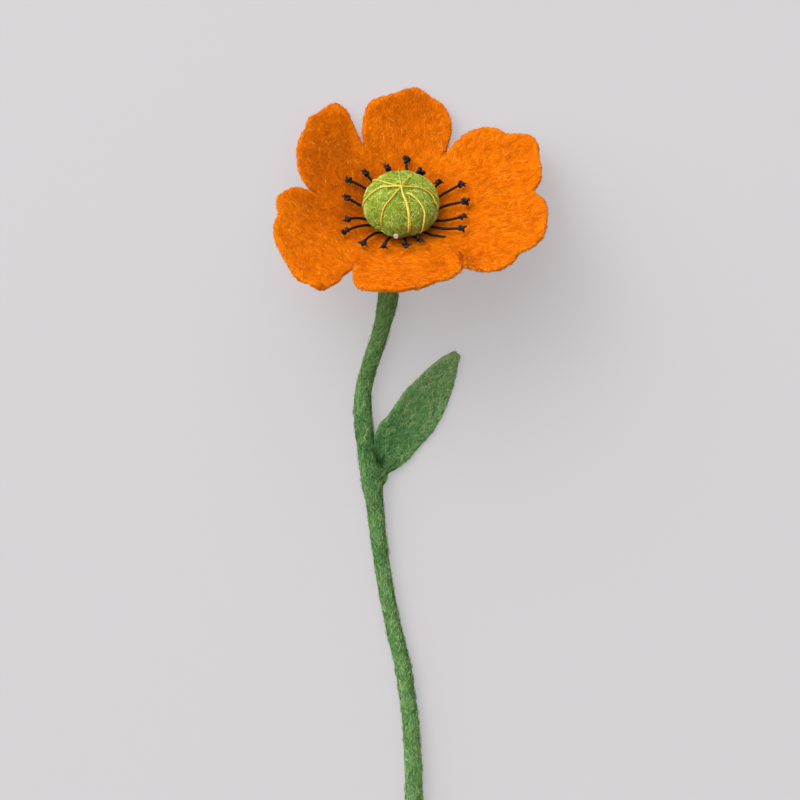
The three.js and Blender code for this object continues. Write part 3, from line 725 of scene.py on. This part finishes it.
def core_grain(points):
    """The way that the corolla's wool was laid, as a level direction at each point."""
    inside = to_bloom(points, HUB)
    around = np.degrees(np.arctan2(inside[:, 1], inside[:, 0]))
    around = np.where(around < CORE_GRAIN[0][0], around + 360, around)
    turn = np.radians(np.interp(around, *zip(*CORE_GRAIN)))
    return np.stack([np.cos(turn), np.sin(turn), 0 * turn], 1)


def core_tone_and_painted_shading(points):
    """How much brighter (above 0) or darker the corolla's colour is made at each point: random drift
    of the dyed wool, and the painted shade and light of the spots.
    """
    drift = 0.10 * lumps(points, 7 * MM, 19) + 0.07 * lumps(points, 3 * MM, 20)
    return drift + spots(points, CORE_PAINTED_SHADING)


class Rim:
    """How far the corolla's edge is from the bloom's middle, all the way round."""

    def __init__(self, mesh):
        far, bins = self.place(points_of(mesh))[1:]
        self.far = np.zeros(RIM_BINS)
        np.maximum.at(self.far, bins, far)

    @staticmethod
    def place(points):
        out = points[:, :2] / MM - BLOOM_MIDDLE
        angle = np.degrees(np.arctan2(out[:, 1], out[:, 0])) % 360
        bins = (angle / (360 / RIM_BINS)).astype(int) % RIM_BINS
        return angle, np.linalg.norm(out, axis=1), bins

    def near(self, points, width):
        """1 at the edge, falling to 0 'width' mm inside it."""
        _, far, bins = self.place(points)
        return np.clip((far - self.far[bins] + width) / width, 0, 1)


def pull(co, spot):
    """Pulls the felt level round one spot: its place and radius in mm, and how far it goes."""
    x, y, wide, *away = spot
    co[:, :2] += round_spot(co, x, y, wide)[:, None] * np.array(away) * MM


def cut_by_hand(mesh):
    """Trims the corolla's rim as the scissors did."""
    co = points_of(mesh)
    angle, far, _ = Rim.place(co)
    trim = np.interp(angle, *zip(*RIM_TRIM))
    trim = trim + 0.3 * lumps(co, 3.2 * MM, 23) + 0.12 * lumps(co, 1.1 * MM, 24)
    trim = trim * Rim(mesh).near(co, TRIM_REACH)
    co[:, :2] += (co[:, :2] - np.array(BLOOM_MIDDLE) * MM) * (trim / far)[:, None]
    pull(co, RIM_PULL)
    move_to(mesh, co)


def on_rim(points, normals):
    """True where the corolla's edge faces sideways instead of square to its rising bowl."""
    inside = to_bloom(points, HUB)
    flat = unit(inside * (1, 1, 0))
    up = unit(from_bloom(-flat * RIM_UP[0] + (0, 0, RIM_UP[1]), np.zeros(3)))
    return ((np.abs((normals * up).sum(1)) < 0.6)
            & (np.hypot(inside[:, 0], inside[:, 1]) > RIM_FROM))


def paint(mesh, name, values):
    """Keeps a number for each vertex, which the felt's material reads."""
    layer = mesh.attributes.new(name, "FLOAT", "POINT")
    layer.data.foreach_set("value", np.asarray(values, np.float32))


class PoppyCorolla(bpy.types.Operator):
    """Felt the orange corolla: its body, the nap on both faces and the fuzz on its cut rim"""

    bl_idname = "object.poppy_corolla"
    bl_label = "Corolla"

    def execute(self, context):
        sizes, colours = context.scene.poppy_sizes, context.scene.poppy_colours
        mesh = felt_body("corolla", "corolla_felt", 2)
        cut_by_hand(mesh)
        felted(mesh, lift=0.24 * MM, size=4.5 * MM, seed=3)
        eased(mesh, CUT_ENDS, wide=2.4, rounds=8)
        rim = Rim(mesh)

        # The corolla's colour: painted shade and light from the spots, and a lighter rim painted for
        # the light at the cut edge, over the dyed wool's drift.
        def dye_and_painted_shading(points):
            return core_tone_and_painted_shading(points) + 0.3 * rim.near(points, 1.5) ** 2

        paint(mesh, "dye_and_painted_shading", dye_and_painted_shading(points_of(mesh)))
        # Merino matted with soap and water: matt and soft, mottled where batches of wool met.
        felt = wool_felt("Wet-felted orange merino", linear("BC5802"), linear("E07002"),
                         linear("F28A06"), 3, 0.5, "dye_and_painted_shading")
        body = body_of(mesh, felt, "orange_felt", "corolla")
        skin = Skin(mesh)
        axis = np.array([0, math.sin(BLOOM_TILT), math.cos(BLOOM_TILT)])
        # The deepest tones also carry painted shade, the palest painted edge light.
        tones = fibre_tones("Orange wool fibre", burnt="B65602", deep=colours.petal_deep,
                            warm="DE6E02", main=colours.petal, light=colours.petal_light,
                            thin_ends="FFB04C")
        mixed = tones_by((0.1, 0.22, 0.26, 0.26, 0.16), 1.8 * MM, 21, dye_and_painted_shading, spread=0.8, pale=0.008)
        faces = (("corolla_nap_a", 12000, 11, lambda p, n: n @ axis > 0.15),
                 ("corolla_nap_b", 12000, 12, lambda p, n: n @ axis > -0.1),
                 ("corolla_nap_back", 6400, 13, lambda p, n: n @ axis < 0.1))
        naps = [nap_piece(name, "orange_felt", tones, skin, count, seed, core_grain, mixed,
                          (2 * MM, 5.5 * MM), sizes.fibre_radius, sizes.nap_lift, scatter=38,
                          curl=1.2, keep=keep, loose=0.02, loose_lift=0.45 * MM)
                for name, count, seed, keep in faces]
        # The rim's fuzz takes mostly the lighter tones: painted light along the cut edge.
        naps.append(nap_piece(
            "corolla_rim_fuzz", "orange_felt", tones, skin, 5200, 14, core_grain,
            tones_by((0, 0, 0.1, 0.4, 0.38, 0.12), 3 * MM, 22),
            (1.2 * MM, 3.2 * MM), sizes.fibre_radius, 0.2 * MM, scatter=60, curl=1.4,
            keep=lambda p, n: on_rim(p, n) * (0.04 + 0.96 * (rim.near(p, 3) > 0)),
            loose=0.5, loose_lift=0.65 * MM))
        return {"FINISHED"}


def thread_lines():
    """The middle line and thickness of each run of thread, which sinks into the pod low down."""
    lines = []
    for k, (thick, stops) in enumerate(THREADS):
        proud = 0.1 + 0.06 * (k % 3)  # one run lies on another where they cross
        way = [pod_point(direction, latitude, proud + pod_dent(direction) * DENT_FILLED)
               for direction, latitude in stops]
        if stops[0][1] < 90:
            way[0] = pod_point(*stops[0], -STITCH_DEPTH)
        line = catmull(way, count=48)
        sunk = np.interp(line[:, 2] - POD_CENTRE, (-2, 4.5), (0.62, 1))
        lines.append((from_bloom(line, HUB), thick * sunk))
    return lines


def pinch_under_threads(mesh):
    """Fills the wide dents of the solid, and draws the wool in narrowly under each run of thread."""
    co = points_of(mesh)
    inside = to_bloom(co, HUB) - (0, 0, POD_CENTRE)
    direction = np.degrees(np.arctan2(inside[:, 1], inside[:, 0]))
    level = np.clip(np.hypot(inside[:, 0], inside[:, 1]) / POD_RADIUS, 0, 1)
    dent = pod_dent(direction) * np.minimum(1, level * POLE_EASE)
    away = np.min([np.linalg.norm(co[:, None] - line[None, ::2], axis=2).min(1)
                   for line, _ in thread_lines()], axis=0) / MM
    pinch = PINCH * np.exp(-(away / PINCH_WIDTH) ** 2)
    move_to(mesh, co + normals_of(mesh) * ((dent * DENT_FILLED - pinch) * MM)[:, None])


def pod_shade(points):
    """How much brighter the pod is made at each point, from its left to its right."""
    return np.interp(points[:, 0] / MM, (-16, -3, 9), (0.04, 0.0, 0.14))


class PoppyPod(bpy.types.Operator):
    """Needle-felt the green seed pod and its curly nap"""

    bl_idname = "object.poppy_pod"
    bl_label = "Seed pod"

    def execute(self, context):
        sizes, colours = context.scene.poppy_sizes, context.scene.poppy_colours
        mesh = felt_body("seed_pod", "pod_felt", 2)
        pinch_under_threads(mesh)
        felted(mesh, lift=0.14 * MM, size=3 * MM, seed=7)
        underside = from_bloom((0, 0, POD_CENTRE - POD_BELLY), HUB) / MM
        eased(mesh, [underside], wide=POD_RADIUS / 2, rounds=20)
        # Stabbed together dry with barbed needles: a tight ball with small pits between curls.
        felt = wool_felt("Needle-felted green wool", linear("6E7C22"), linear("8E9A2E"),
                         colours.pod, 2.5, 0.45)
        pod = body_of(mesh, felt, "pod_felt", "seed_pod")
        tones = fibre_tones("Pod wool fibre", moss="728A2C", main=colours.pod, sea="93B65E",
                            lime="BFCB4E", straw="DEE07C")
        any_way = np.random.default_rng(5)
        nap_piece("pod_nap", "pod_felt", tones, Skin(mesh), 4400, 31,
                  lambda p: any_way.normal(size=p.shape),
                  tones_by((0.25, 0.3, 0.15, 0.2, 0.1), 2 * MM, 33, pod_shade),
                  (2 * MM, 5 * MM), sizes.fibre_radius * 1.4, 0.15 * MM, scatter=60, curl=3.6,
                  keep=lambda p, n: to_bloom(p, HUB)[:, 2] > POD_CENTRE - POD_BELLY * 0.85,
                  loose=0.03, stops=6)
        return {"FINISHED"}


class PoppyPodThreads(bpy.types.Operator):
    """Wind the yellow embroidery thread round the pod"""

    bl_idname = "object.poppy_pod_threads"
    bl_label = "Pod threads"

    def execute(self, context):
        sizes, colours = context.scene.poppy_sizes, context.scene.poppy_colours
        rng = np.random.default_rng(41)
        meshes = []
        for k, (line, thick) in enumerate(thread_lines()):
            paths, ply = plied(line, sizes.thread_radius * thick, TWIST * MM, rng.uniform(0, 6))
            meshes.append(strands(paths, ply * PLY_SWELL, 6, [k % 2] * 2))
        gloss = {"Roughness": 0.42, "IOR": 1.5, "Specular IOR Level": 0.5, "Sheen Weight": 0.2,
                 "Sheen Tint": colours.thread}
        # Mercerized cotton: its swollen, straightened fibres give a soft shine along each strand.
        tones = [spun("Stranded cotton, gold", gloss, linear("D0A820"), colours.thread, 0.5, 0.05),
                 spun("Stranded cotton, yellow", gloss, linear("E2C62E"), linear("F6E870"), 0.5,
                      0.05)]
        settle(joined("pod_threads_stranded", meshes, tones), "yellow_thread", "pod_threads")
        return {"FINISHED"}


def knot_path(centre, heading, side, turn, size):
    """An overhand knot's line, turned about the thread that it is tied in."""
    t = np.linspace(0.25, 2 * math.pi + 0.05, 32)
    ring = np.stack([np.sin(t) + 2 * np.sin(2 * t), np.cos(t) - 2 * np.cos(2 * t),
                     -1.7 * np.sin(3 * t)], 1)
    a = math.cos(turn) * side + math.sin(turn) * np.cross(heading, side)
    b = np.cross(heading, a)
    return centre + size / 3 * (ring[:, :1] * (1.1 * heading) + ring[:, 1:2] * a + ring[:, 2:] * b)


def stamen_line(direction, reach, extra, bow, hump):
    """A stamen's middle line from under the pod to its end, and the way across it."""
    top = STAMEN_HEIGHT + extra
    last_out, last_up = STAMEN_WAY[-1]
    way = [*STAMEN_WAY, (last_out + (reach - last_out) * 0.45, last_up + (top - last_up) * 0.42),
           (reach, top)]
    angle = math.radians(direction)
    out = np.array([math.cos(angle), math.sin(angle), 0])
    side = np.array([-math.sin(angle), math.cos(angle), 0])
    stops = []
    for far, up in way:
        share = (far - ARCH_FROM) / (reach - ARCH_FROM)
        arch = math.sin(math.pi * share) if share > 0 else 0
        stops.append(far * out + bow * arch * side + (0, 0, up + hump * arch))
    return from_bloom(catmull(stops, count=62), HUB), from_bloom(side, np.zeros(3))


def knot_tail(end, direction, rng):
    """The line of a knot's free tail, and which way it ends."""
    lean = math.radians(direction)
    out = unit(np.array([math.cos(lean), math.sin(lean), 0.25 * rng.uniform(0, 1)]))
    bent = unit(out + rng.normal(0, 0.25, 3) * (1, 1, 0.4))
    far = np.linspace(0, 1, len(TAIL_RADII))[:, None]
    return end + (out * (0.5 + far * TAIL_LENGTH) + (bent - out) * far ** 2) * MM, bent


def frayed(at, heading, spread, reach, count, rng):
    """The lines of the filaments that stand out of a cut thread."""
    return [at + unit(heading + rng.normal(0, spread, 3))[None]
            * (np.linspace(-0.3, reach, 5) * MM)[:, None] for _ in range(count)]


class PoppyStamens(bpy.types.Operator):
    """Tie the knotted black threads under the pod"""

    bl_idname = "object.poppy_stamens"
    bl_label = "Stamens"

    def execute(self, context):
        radius = context.scene.poppy_sizes.stamen_radius
        rng = np.random.default_rng(51)
        meshes = []
        for *course, knot_size, tails in STAMENS:
            row, across = stamen_line(*course)
            paths, ply = plied(row, radius * 1.05, TWIST * MM, rng.uniform(0, 6))
            meshes.append(strands(paths, ply * WAX_SWELL, 6, [0, 0]))
            end, heading = row[-1], unit(row[-1] - row[-5])
            across = unit(across - (across @ heading) * heading)
            fray = frayed(row[-2], heading, 0.4, 0.9, 5, rng)
            if knot_size:
                knot = knot_path(end, heading, across, rng.uniform(0, 6.28), knot_size * 1.08 * MM)
                meshes.append(strands(knot[None], 0.45 * MM * knot_size, 7, [1]))
                fray = []
            for tail in tails:
                line, bent = knot_tail(end, tail, rng)
                meshes.append(strands(line[None], np.array([TAIL_RADII]) * MM, 6, [1]))
                fray += frayed(line[-2], bent, 0.5, 0.6, 3, rng)
            if fray:
                meshes.append(strands(fray, FILAMENT_RADIUS * MM, 3, [0] * len(fray)))
        turn = np.linspace(0, 2 * math.pi, 40)
        tie = np.stack([TIE_RADIUS * np.cos(turn), TIE_RADIUS * np.sin(turn),
                        TIE_HEIGHT + 0.12 * np.sin(3 * turn)], 1)
        meshes.append(strands(from_bloom(tie, HUB)[None], 0.5 * MM, 6, [0]))
        # Waxed and twisted: the wax hides the filaments and leaves a dull bluish glint on the plies.
        thread = spun("Waxed polyester thread, black", {
            "Roughness": 0.55, "IOR": 1.5, "Specular IOR Level": 0.25, "Sheen Weight": 0.05,
            "Sheen Roughness": 0.4, "Sheen Tint": linear("8088A0")},
            linear("0A090A"), linear("171417"), 0.6, 0.04)
        knots = spun("Waxed polyester thread, knotted", {
            "Roughness": 0.42, "IOR": 1.5, "Specular IOR Level": 0.35, "Sheen Weight": 0.06,
            "Sheen Roughness": 0.4, "Sheen Tint": linear("8C94AC")},
            linear("0C0A0D"), linear("1A171B"), 0.5, 0.05)
        settle(joined("stamen_threads", meshes, [thread, knots]), "black_thread", "stamens")
        return {"FINISHED"}


class PoppyBead(bpy.types.Operator):
    """Turn the small pearl bead at the pod's lower edge"""

    bl_idname = "object.poppy_bead"
    bl_label = "Bead"

    def execute(self, context):
        bm = bmesh.new()
        section = bmesh.ops.create_circle(bm, segments=14, radius=BEAD_WALL * MM)["verts"]
        bmesh.ops.rotate(bm, verts=section, matrix=Matrix(((1, 0, 0), (0, 0, -1), (0, 1, 0))))
        bmesh.ops.translate(bm, verts=section, vec=((BEAD_RADIUS - BEAD_WALL - 0.04) * MM, 0, 0))
        bmesh.ops.spin(bm, geom=bm.edges[:], cent=(0, 0, 0), axis=(0, 0, 1), angle=2 * math.pi,
                       steps=28, use_merge=True)
        bmesh.ops.remove_doubles(bm, verts=bm.verts, dist=1e-7)
        bmesh.ops.recalc_face_normals(bm, faces=bm.faces)
        low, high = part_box("bead")
        face = Vector(from_bloom(pod_point(BEAD_DIRECTION, 32, 1) - (0, 0, POD_CENTRE), np.zeros(3)))
        turn = face.to_track_quat("Z", "Y").to_matrix()
        bmesh.ops.rotate(bm, verts=bm.verts, matrix=turn)
        bmesh.ops.translate(bm, verts=bm.verts, vec=(low + high) / 2)
        mesh = as_mesh(bm, "seed_bead")
        mesh.shade_smooth()
        # Glass dipped in pearl lacquer: a soft body under a thin hard coat, with a warm drift.
        pearl = spun("Pearl-coated glass", {
            "Roughness": 0.25, "IOR": 1.52, "Coat Weight": 0.6, "Coat Roughness": 0.1,
            "Sheen Weight": 0.1}, linear("B5A998"), linear("CDC6BE"), 0.7, 0.004)
        body_of(mesh, pearl, "pearl", "bead")
        return {"FINISHED"}


def stem_grain(points):
    """Along the stem at each point, with the slight twist of the rolled wool."""
    line = catmull(np.array(STEM_LINE) * MM, count=240)
    ahead = unit(np.gradient(line, axis=0))
    near = np.array([np.argmin(((line - p) ** 2).sum(1)) for p in points])
    away = points - line[near]
    return unit(ahead[near] + 0.22 * unit(np.cross(ahead[near], away)))


def leaf_grain(points):
    way = np.array(LEAF_TIP) - np.array(LEAF_ROOT)
    return np.broadcast_to(unit(np.array([way[0], way[1], 0.0])), points.shape)


def stem_tone_and_painted_shade(points):
    """The stem's colour: darkest at the leaf, where shade is painted into the fold, and brighter and
    yellower towards the cut end.
    """
    y = points[:, 1] / MM
    along = np.interp(y, (-150, -60, -30, 10, 30, 42, 60, 95),
                      (0.32, 0.16, 0.06, 0.1, 0.06, -0.1, 0.02, 0.18))
    return along + spots(points, JOIN_PAINTED_SHADE)


def leaf_tone_and_painted_shade(points):
    """The leaf is brighter towards its tip and its edge away from the stem, with painted shade in
    the fold at its root.
    """
    way = unit(np.array(LEAF_TIP) - np.array(LEAF_ROOT))
    level = points[:, :2] / MM - LEAF_ROOT
    along, across = level @ way, level @ np.array([way[1], -way[0]])
    bright = np.interp(along, (5, 25, 52), (0.02, 0.11, 0.44)) + 0.03 * np.clip(across - 3, 0, 5)
    return bright + spots(points, JOIN_PAINTED_SHADE)


def near_wrap(points, normals):
    return np.linalg.norm(points - np.array(WRAP_AT) * MM, axis=1) < WRAP_REACH * MM


def wrap_grain(points):
    """Round the stem where the leaf's root is wrapped in, then along the leaf."""
    turned = stem_grain(points)
    return unit(turned * (1, 1, 0.4) + np.array([0.75, -0.1, 0.0]))


def leaf_wrap():
    """The swelling of wool that holds the leaf's root against the stem."""
    bm = bmesh.new()
    bmesh.ops.create_icosphere(bm, subdivisions=4, radius=1)
    bmesh.ops.scale(bm, verts=bm.verts, vec=Vector(WRAP_SIZE) * MM)
    bmesh.ops.rotate(bm, verts=bm.verts, matrix=Matrix.Rotation(math.radians(WRAP_TURN), 3, "Z"))
    bmesh.ops.translate(bm, verts=bm.verts, vec=Vector(WRAP_AT) * MM)
    mesh = as_mesh(bm, "leaf_wrap_felt")
    felted(mesh, lift=0.25 * MM, size=2.5 * MM, seed=17)
    mesh.shade_smooth()
    return mesh


class PoppyStem(bpy.types.Operator):
    """Roll the green felt round the wire, and felt the leaf on"""

    bl_idname = "object.poppy_stem"
    bl_label = "Stem and leaf"

    def execute(self, context):
        sizes, colours = context.scene.poppy_sizes, context.scene.poppy_colours
        # Rolled between wet hands: the fibres lie along it, a little twisted, and stay matt.
        felt = wool_felt("Rolled green wool felt", linear("44693A"), linear("5A8248"),
                         colours.stem, 4, 0.5, "dye_and_painted_shading")
        stem = felt_body("stem_felt", "stem_rolled_felt", 1)
        felted(stem, lift=0.2 * MM, size=6 * MM, seed=9)
        move_to(stem, points_of(stem) - normals_of(stem) * STEM_SUNK * MM)
        paint(stem, "dye_and_painted_shading", stem_tone_and_painted_shade(points_of(stem)))
        body_of(stem, felt, "stem_felt", "stem_felt")
        leaf = felt_body("leaf", "leaf_felt_blade", 2)
        felted(leaf, lift=0.14 * MM, size=4 * MM, seed=15)
        co = points_of(leaf)
        co[:, 0] += (0.28 * lumps(co, 2.6 * MM, 25) + 0.12 * lumps(co, 1.0 * MM, 26)) * MM
        pull(co, LEAF_PULL)
        move_to(leaf, co)
        eased(leaf, LEAF_ROOT_EDGE, wide=3.4, rounds=14)
        paint(leaf, "dye_and_painted_shading", leaf_tone_and_painted_shade(points_of(leaf)))
        leaf_piece = body_of(leaf, felt, "leaf_felt", "leaf")
        wrap = leaf_wrap()
        paint(wrap, "dye_and_painted_shading", stem_tone_and_painted_shade(points_of(wrap)))
        body_of(wrap, felt, "stem_felt")
        # The darkest tone is taken mostly where shade is painted into the fold at the leaf's root.
        tones = fibre_tones("Green wool fibre", bottle="2A4A22", forest="3E683A", main=colours.stem,
                            sea="6FA274", apple="8EB468", straw="AEC284")
        stem_skin = Skin(stem)
        weights = (0.03, 0.24, 0.38, 0.14, 0.16, 0.05)
        for name, seed in (("stem_nap_a", 61), ("stem_nap_b", 62)):
            nap_piece(name, "stem_felt", tones, stem_skin, 7500, seed, stem_grain,
                      tones_by(weights, 4 * MM, 63, stem_tone_and_painted_shade),
                      (2 * MM, 5 * MM), sizes.fibre_radius * 1.25, 0.16 * MM, scatter=34, curl=1.3,
                      keep=lambda p, n: 0.35 + 0.65 * (n[:, 2] > -0.6),
                      loose=0.11, loose_lift=0.75 * MM)
        nap_piece("leaf_wrap_nap", "stem_felt", tones, Skin(wrap, stem, leaf), 1200, 65, wrap_grain,
                  tones_by(weights, 4 * MM, 66, stem_tone_and_painted_shade),
                  (3 * MM, 7 * MM), sizes.fibre_radius * 1.15, 0.2 * MM, scatter=24, curl=1.0,
                  keep=near_wrap, loose=0.05, stops=5)
        # The blade's batch of wool is carded more evenly: greener, with less difference in tone.
        tones = fibre_tones("Green leaf fibre", bottle="2C5424", forest="3F7040", main="669858",
                            sea="6AA26E", apple="86B268", straw="AAC07E")
        leaf_nap = nap_piece(
            "leaf_nap", "leaf_felt", tones, Skin(leaf), 5600, 71, leaf_grain,
            tones_by((0.04, 0.26, 0.38, 0.17, 0.12, 0.03), 2 * MM, 73, leaf_tone_and_painted_shade),
            (1.6 * MM, 4.2 * MM), sizes.fibre_radius * 1.2, 0.11 * MM, scatter=45, curl=1.5,
            keep=lambda p, n: 0.25 + 0.75 * (n[:, 2] > -0.3), loose=0.09, loose_lift=0.6 * MM)
        return {"FINISHED"}


class PoppyWire(bpy.types.Operator):
    """Give the wire in the stem its drawn steel finish"""

    bl_idname = "object.poppy_wire"
    bl_label = "Wire"

    def execute(self, context):
        # Pulled through a die: fine lines along it spread its highlight lengthways.
        material, tree, shader = shaded("Drawn soft steel wire", {
            "Base Color": linear("8D8F90"), "Metallic": 1.0, "Roughness": 0.38})
        place = add_node(tree, "ShaderNodeTexCoord").outputs["Object"]
        squeeze = add_node(tree, "ShaderNodeMapping", values={"Scale": (1, 0.05, 1)},
                           links={"Vector": place})
        lines = add_node(tree, "ShaderNodeTexNoise", values={"Scale": 1 / (0.1 * MM)},
                         links={"Vector": squeeze.outputs[0]})
        bump = add_node(tree, "ShaderNodeBump", values={"Strength": 0.3, "Distance": 0.02 * MM},
                        links={"Height": lines.outputs["Fac"]})
        tree.links.new(bump.outputs["Normal"], shader.inputs["Normal"])
        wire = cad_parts["stem_wire"]
        wire.data.materials.clear()
        wire.data.materials.append(material)
        return {"FINISHED"}


class PoppyStage(bpy.types.Operator):
    """Lay the pale floor and set the camera and the soft lights"""

    bl_idname = "object.poppy_stage"
    bl_label = "Stage"

    def execute(self, context):
        scene = context.scene
        scene.view_settings.view_transform = "Standard"
        bm = bmesh.new()
        bmesh.ops.create_grid(bm, x_segments=1, y_segments=1, size=3)
        mesh = as_mesh(bm, "floor")
        # Opal sheet lit from below: plain, matt and pale, it keeps the shadows soft and light.
        mesh.materials.append(shaded("Opal acrylic light table", {
            "Base Color": scene.poppy_colours.floor, "Roughness": 0.9, "Specular IOR Level": 0.1,
            "Emission Color": linear("F4F0F2"), "Emission Strength": TABLE_GLOW})[0])
        floor = bpy.data.objects.new("floor", mesh)
        scene.collection.objects.link(floor)
        world = bpy.data.worlds.new("studio")
        world.use_nodes = True
        tree = world.node_tree
        way = add_node(tree, "ShaderNodeTexCoord").outputs["Generated"]
        facing = add_node(tree, "ShaderNodeVectorMath", {"operation": "DOT_PRODUCT"},
                          {1: DOME_FROM}, {0: way})
        bright = add_node(tree, "ShaderNodeMath", {"operation": "MAXIMUM"}, {1: 0.0},
                          {0: facing.outputs["Value"]})
        narrow = add_node(tree, "ShaderNodeMath", {"operation": "POWER"}, {1: DOME_POWER},
                          {0: bright.outputs[0]})
        whole = add_node(tree, "ShaderNodeMath", {"operation": "MULTIPLY_ADD"},
                         {1: DOME_KEY, 2: DOME_FILL}, {0: narrow.outputs[0]})
        background = tree.nodes["Background"]
        background.inputs["Color"].default_value = (0.97, 0.98, 1.0, 1)
        tree.links.new(whole.outputs[0], background.inputs["Strength"])
        scene.world = world
        data = bpy.data.lights.new("softbox", "AREA")
        data.shape, data.size, data.energy = "DISK", LAMP_SIZE, LAMP_POWER
        lamp = bpy.data.objects.new("softbox", data)
        lamp.location = Vector(DOME_FROM) * LAMP_AWAY
        lamp.rotation_mode = "QUATERNION"
        lamp.rotation_quaternion = (-Vector(DOME_FROM)).to_track_quat("-Z", "Y")
        scene.collection.objects.link(lamp)
        camera = bpy.data.objects.new("camera", bpy.data.cameras.new("camera"))
        camera.location = Vector(EYE) * MM
        camera.data.sensor_width = 36
        camera.data.lens = LENS
        camera.data.clip_start, camera.data.clip_end = 0.01, 20
        scene.collection.objects.link(camera)
        scene.camera = camera
        return {"FINISHED"}


class PoppyPanel(bpy.types.Panel):
    """The felt poppy's pieces, sizes and colours"""

    bl_idname = "VIEW3D_PT_felt_poppy"
    bl_label = "Felt Poppy"
    bl_space_type = "VIEW_3D"
    bl_region_type = "UI"
    bl_category = "Felt Poppy"

    def draw(self, context):
        layout = self.layout
        for group in (context.scene.poppy_sizes, context.scene.poppy_colours):
            for key in group.__annotations__:
                layout.prop(group, key)
        for piece in PIECES:
            layout.operator(piece.bl_idname)


PIECES = (PoppyStage, PoppyCorolla, PoppyPod, PoppyPodThreads, PoppyStamens, PoppyBead, PoppyStem,
          PoppyWire)
CLASSES = (PoppySizes, PoppyColours, *PIECES, PoppyPanel)


def register():
    for cls in CLASSES:
        bpy.utils.register_class(cls)
    bpy.types.Scene.poppy_sizes = bpy.props.PointerProperty(type=PoppySizes)
    bpy.types.Scene.poppy_colours = bpy.props.PointerProperty(type=PoppyColours)


def unregister():
    del bpy.types.Scene.poppy_sizes
    del bpy.types.Scene.poppy_colours
    for cls in reversed(CLASSES):
        bpy.utils.unregister_class(cls)


def main():
    register()
    for piece in PIECES:
        family, name = piece.bl_idname.split(".")
        getattr(getattr(bpy.ops, family), name)()


if __name__ == "__main__":
    main()
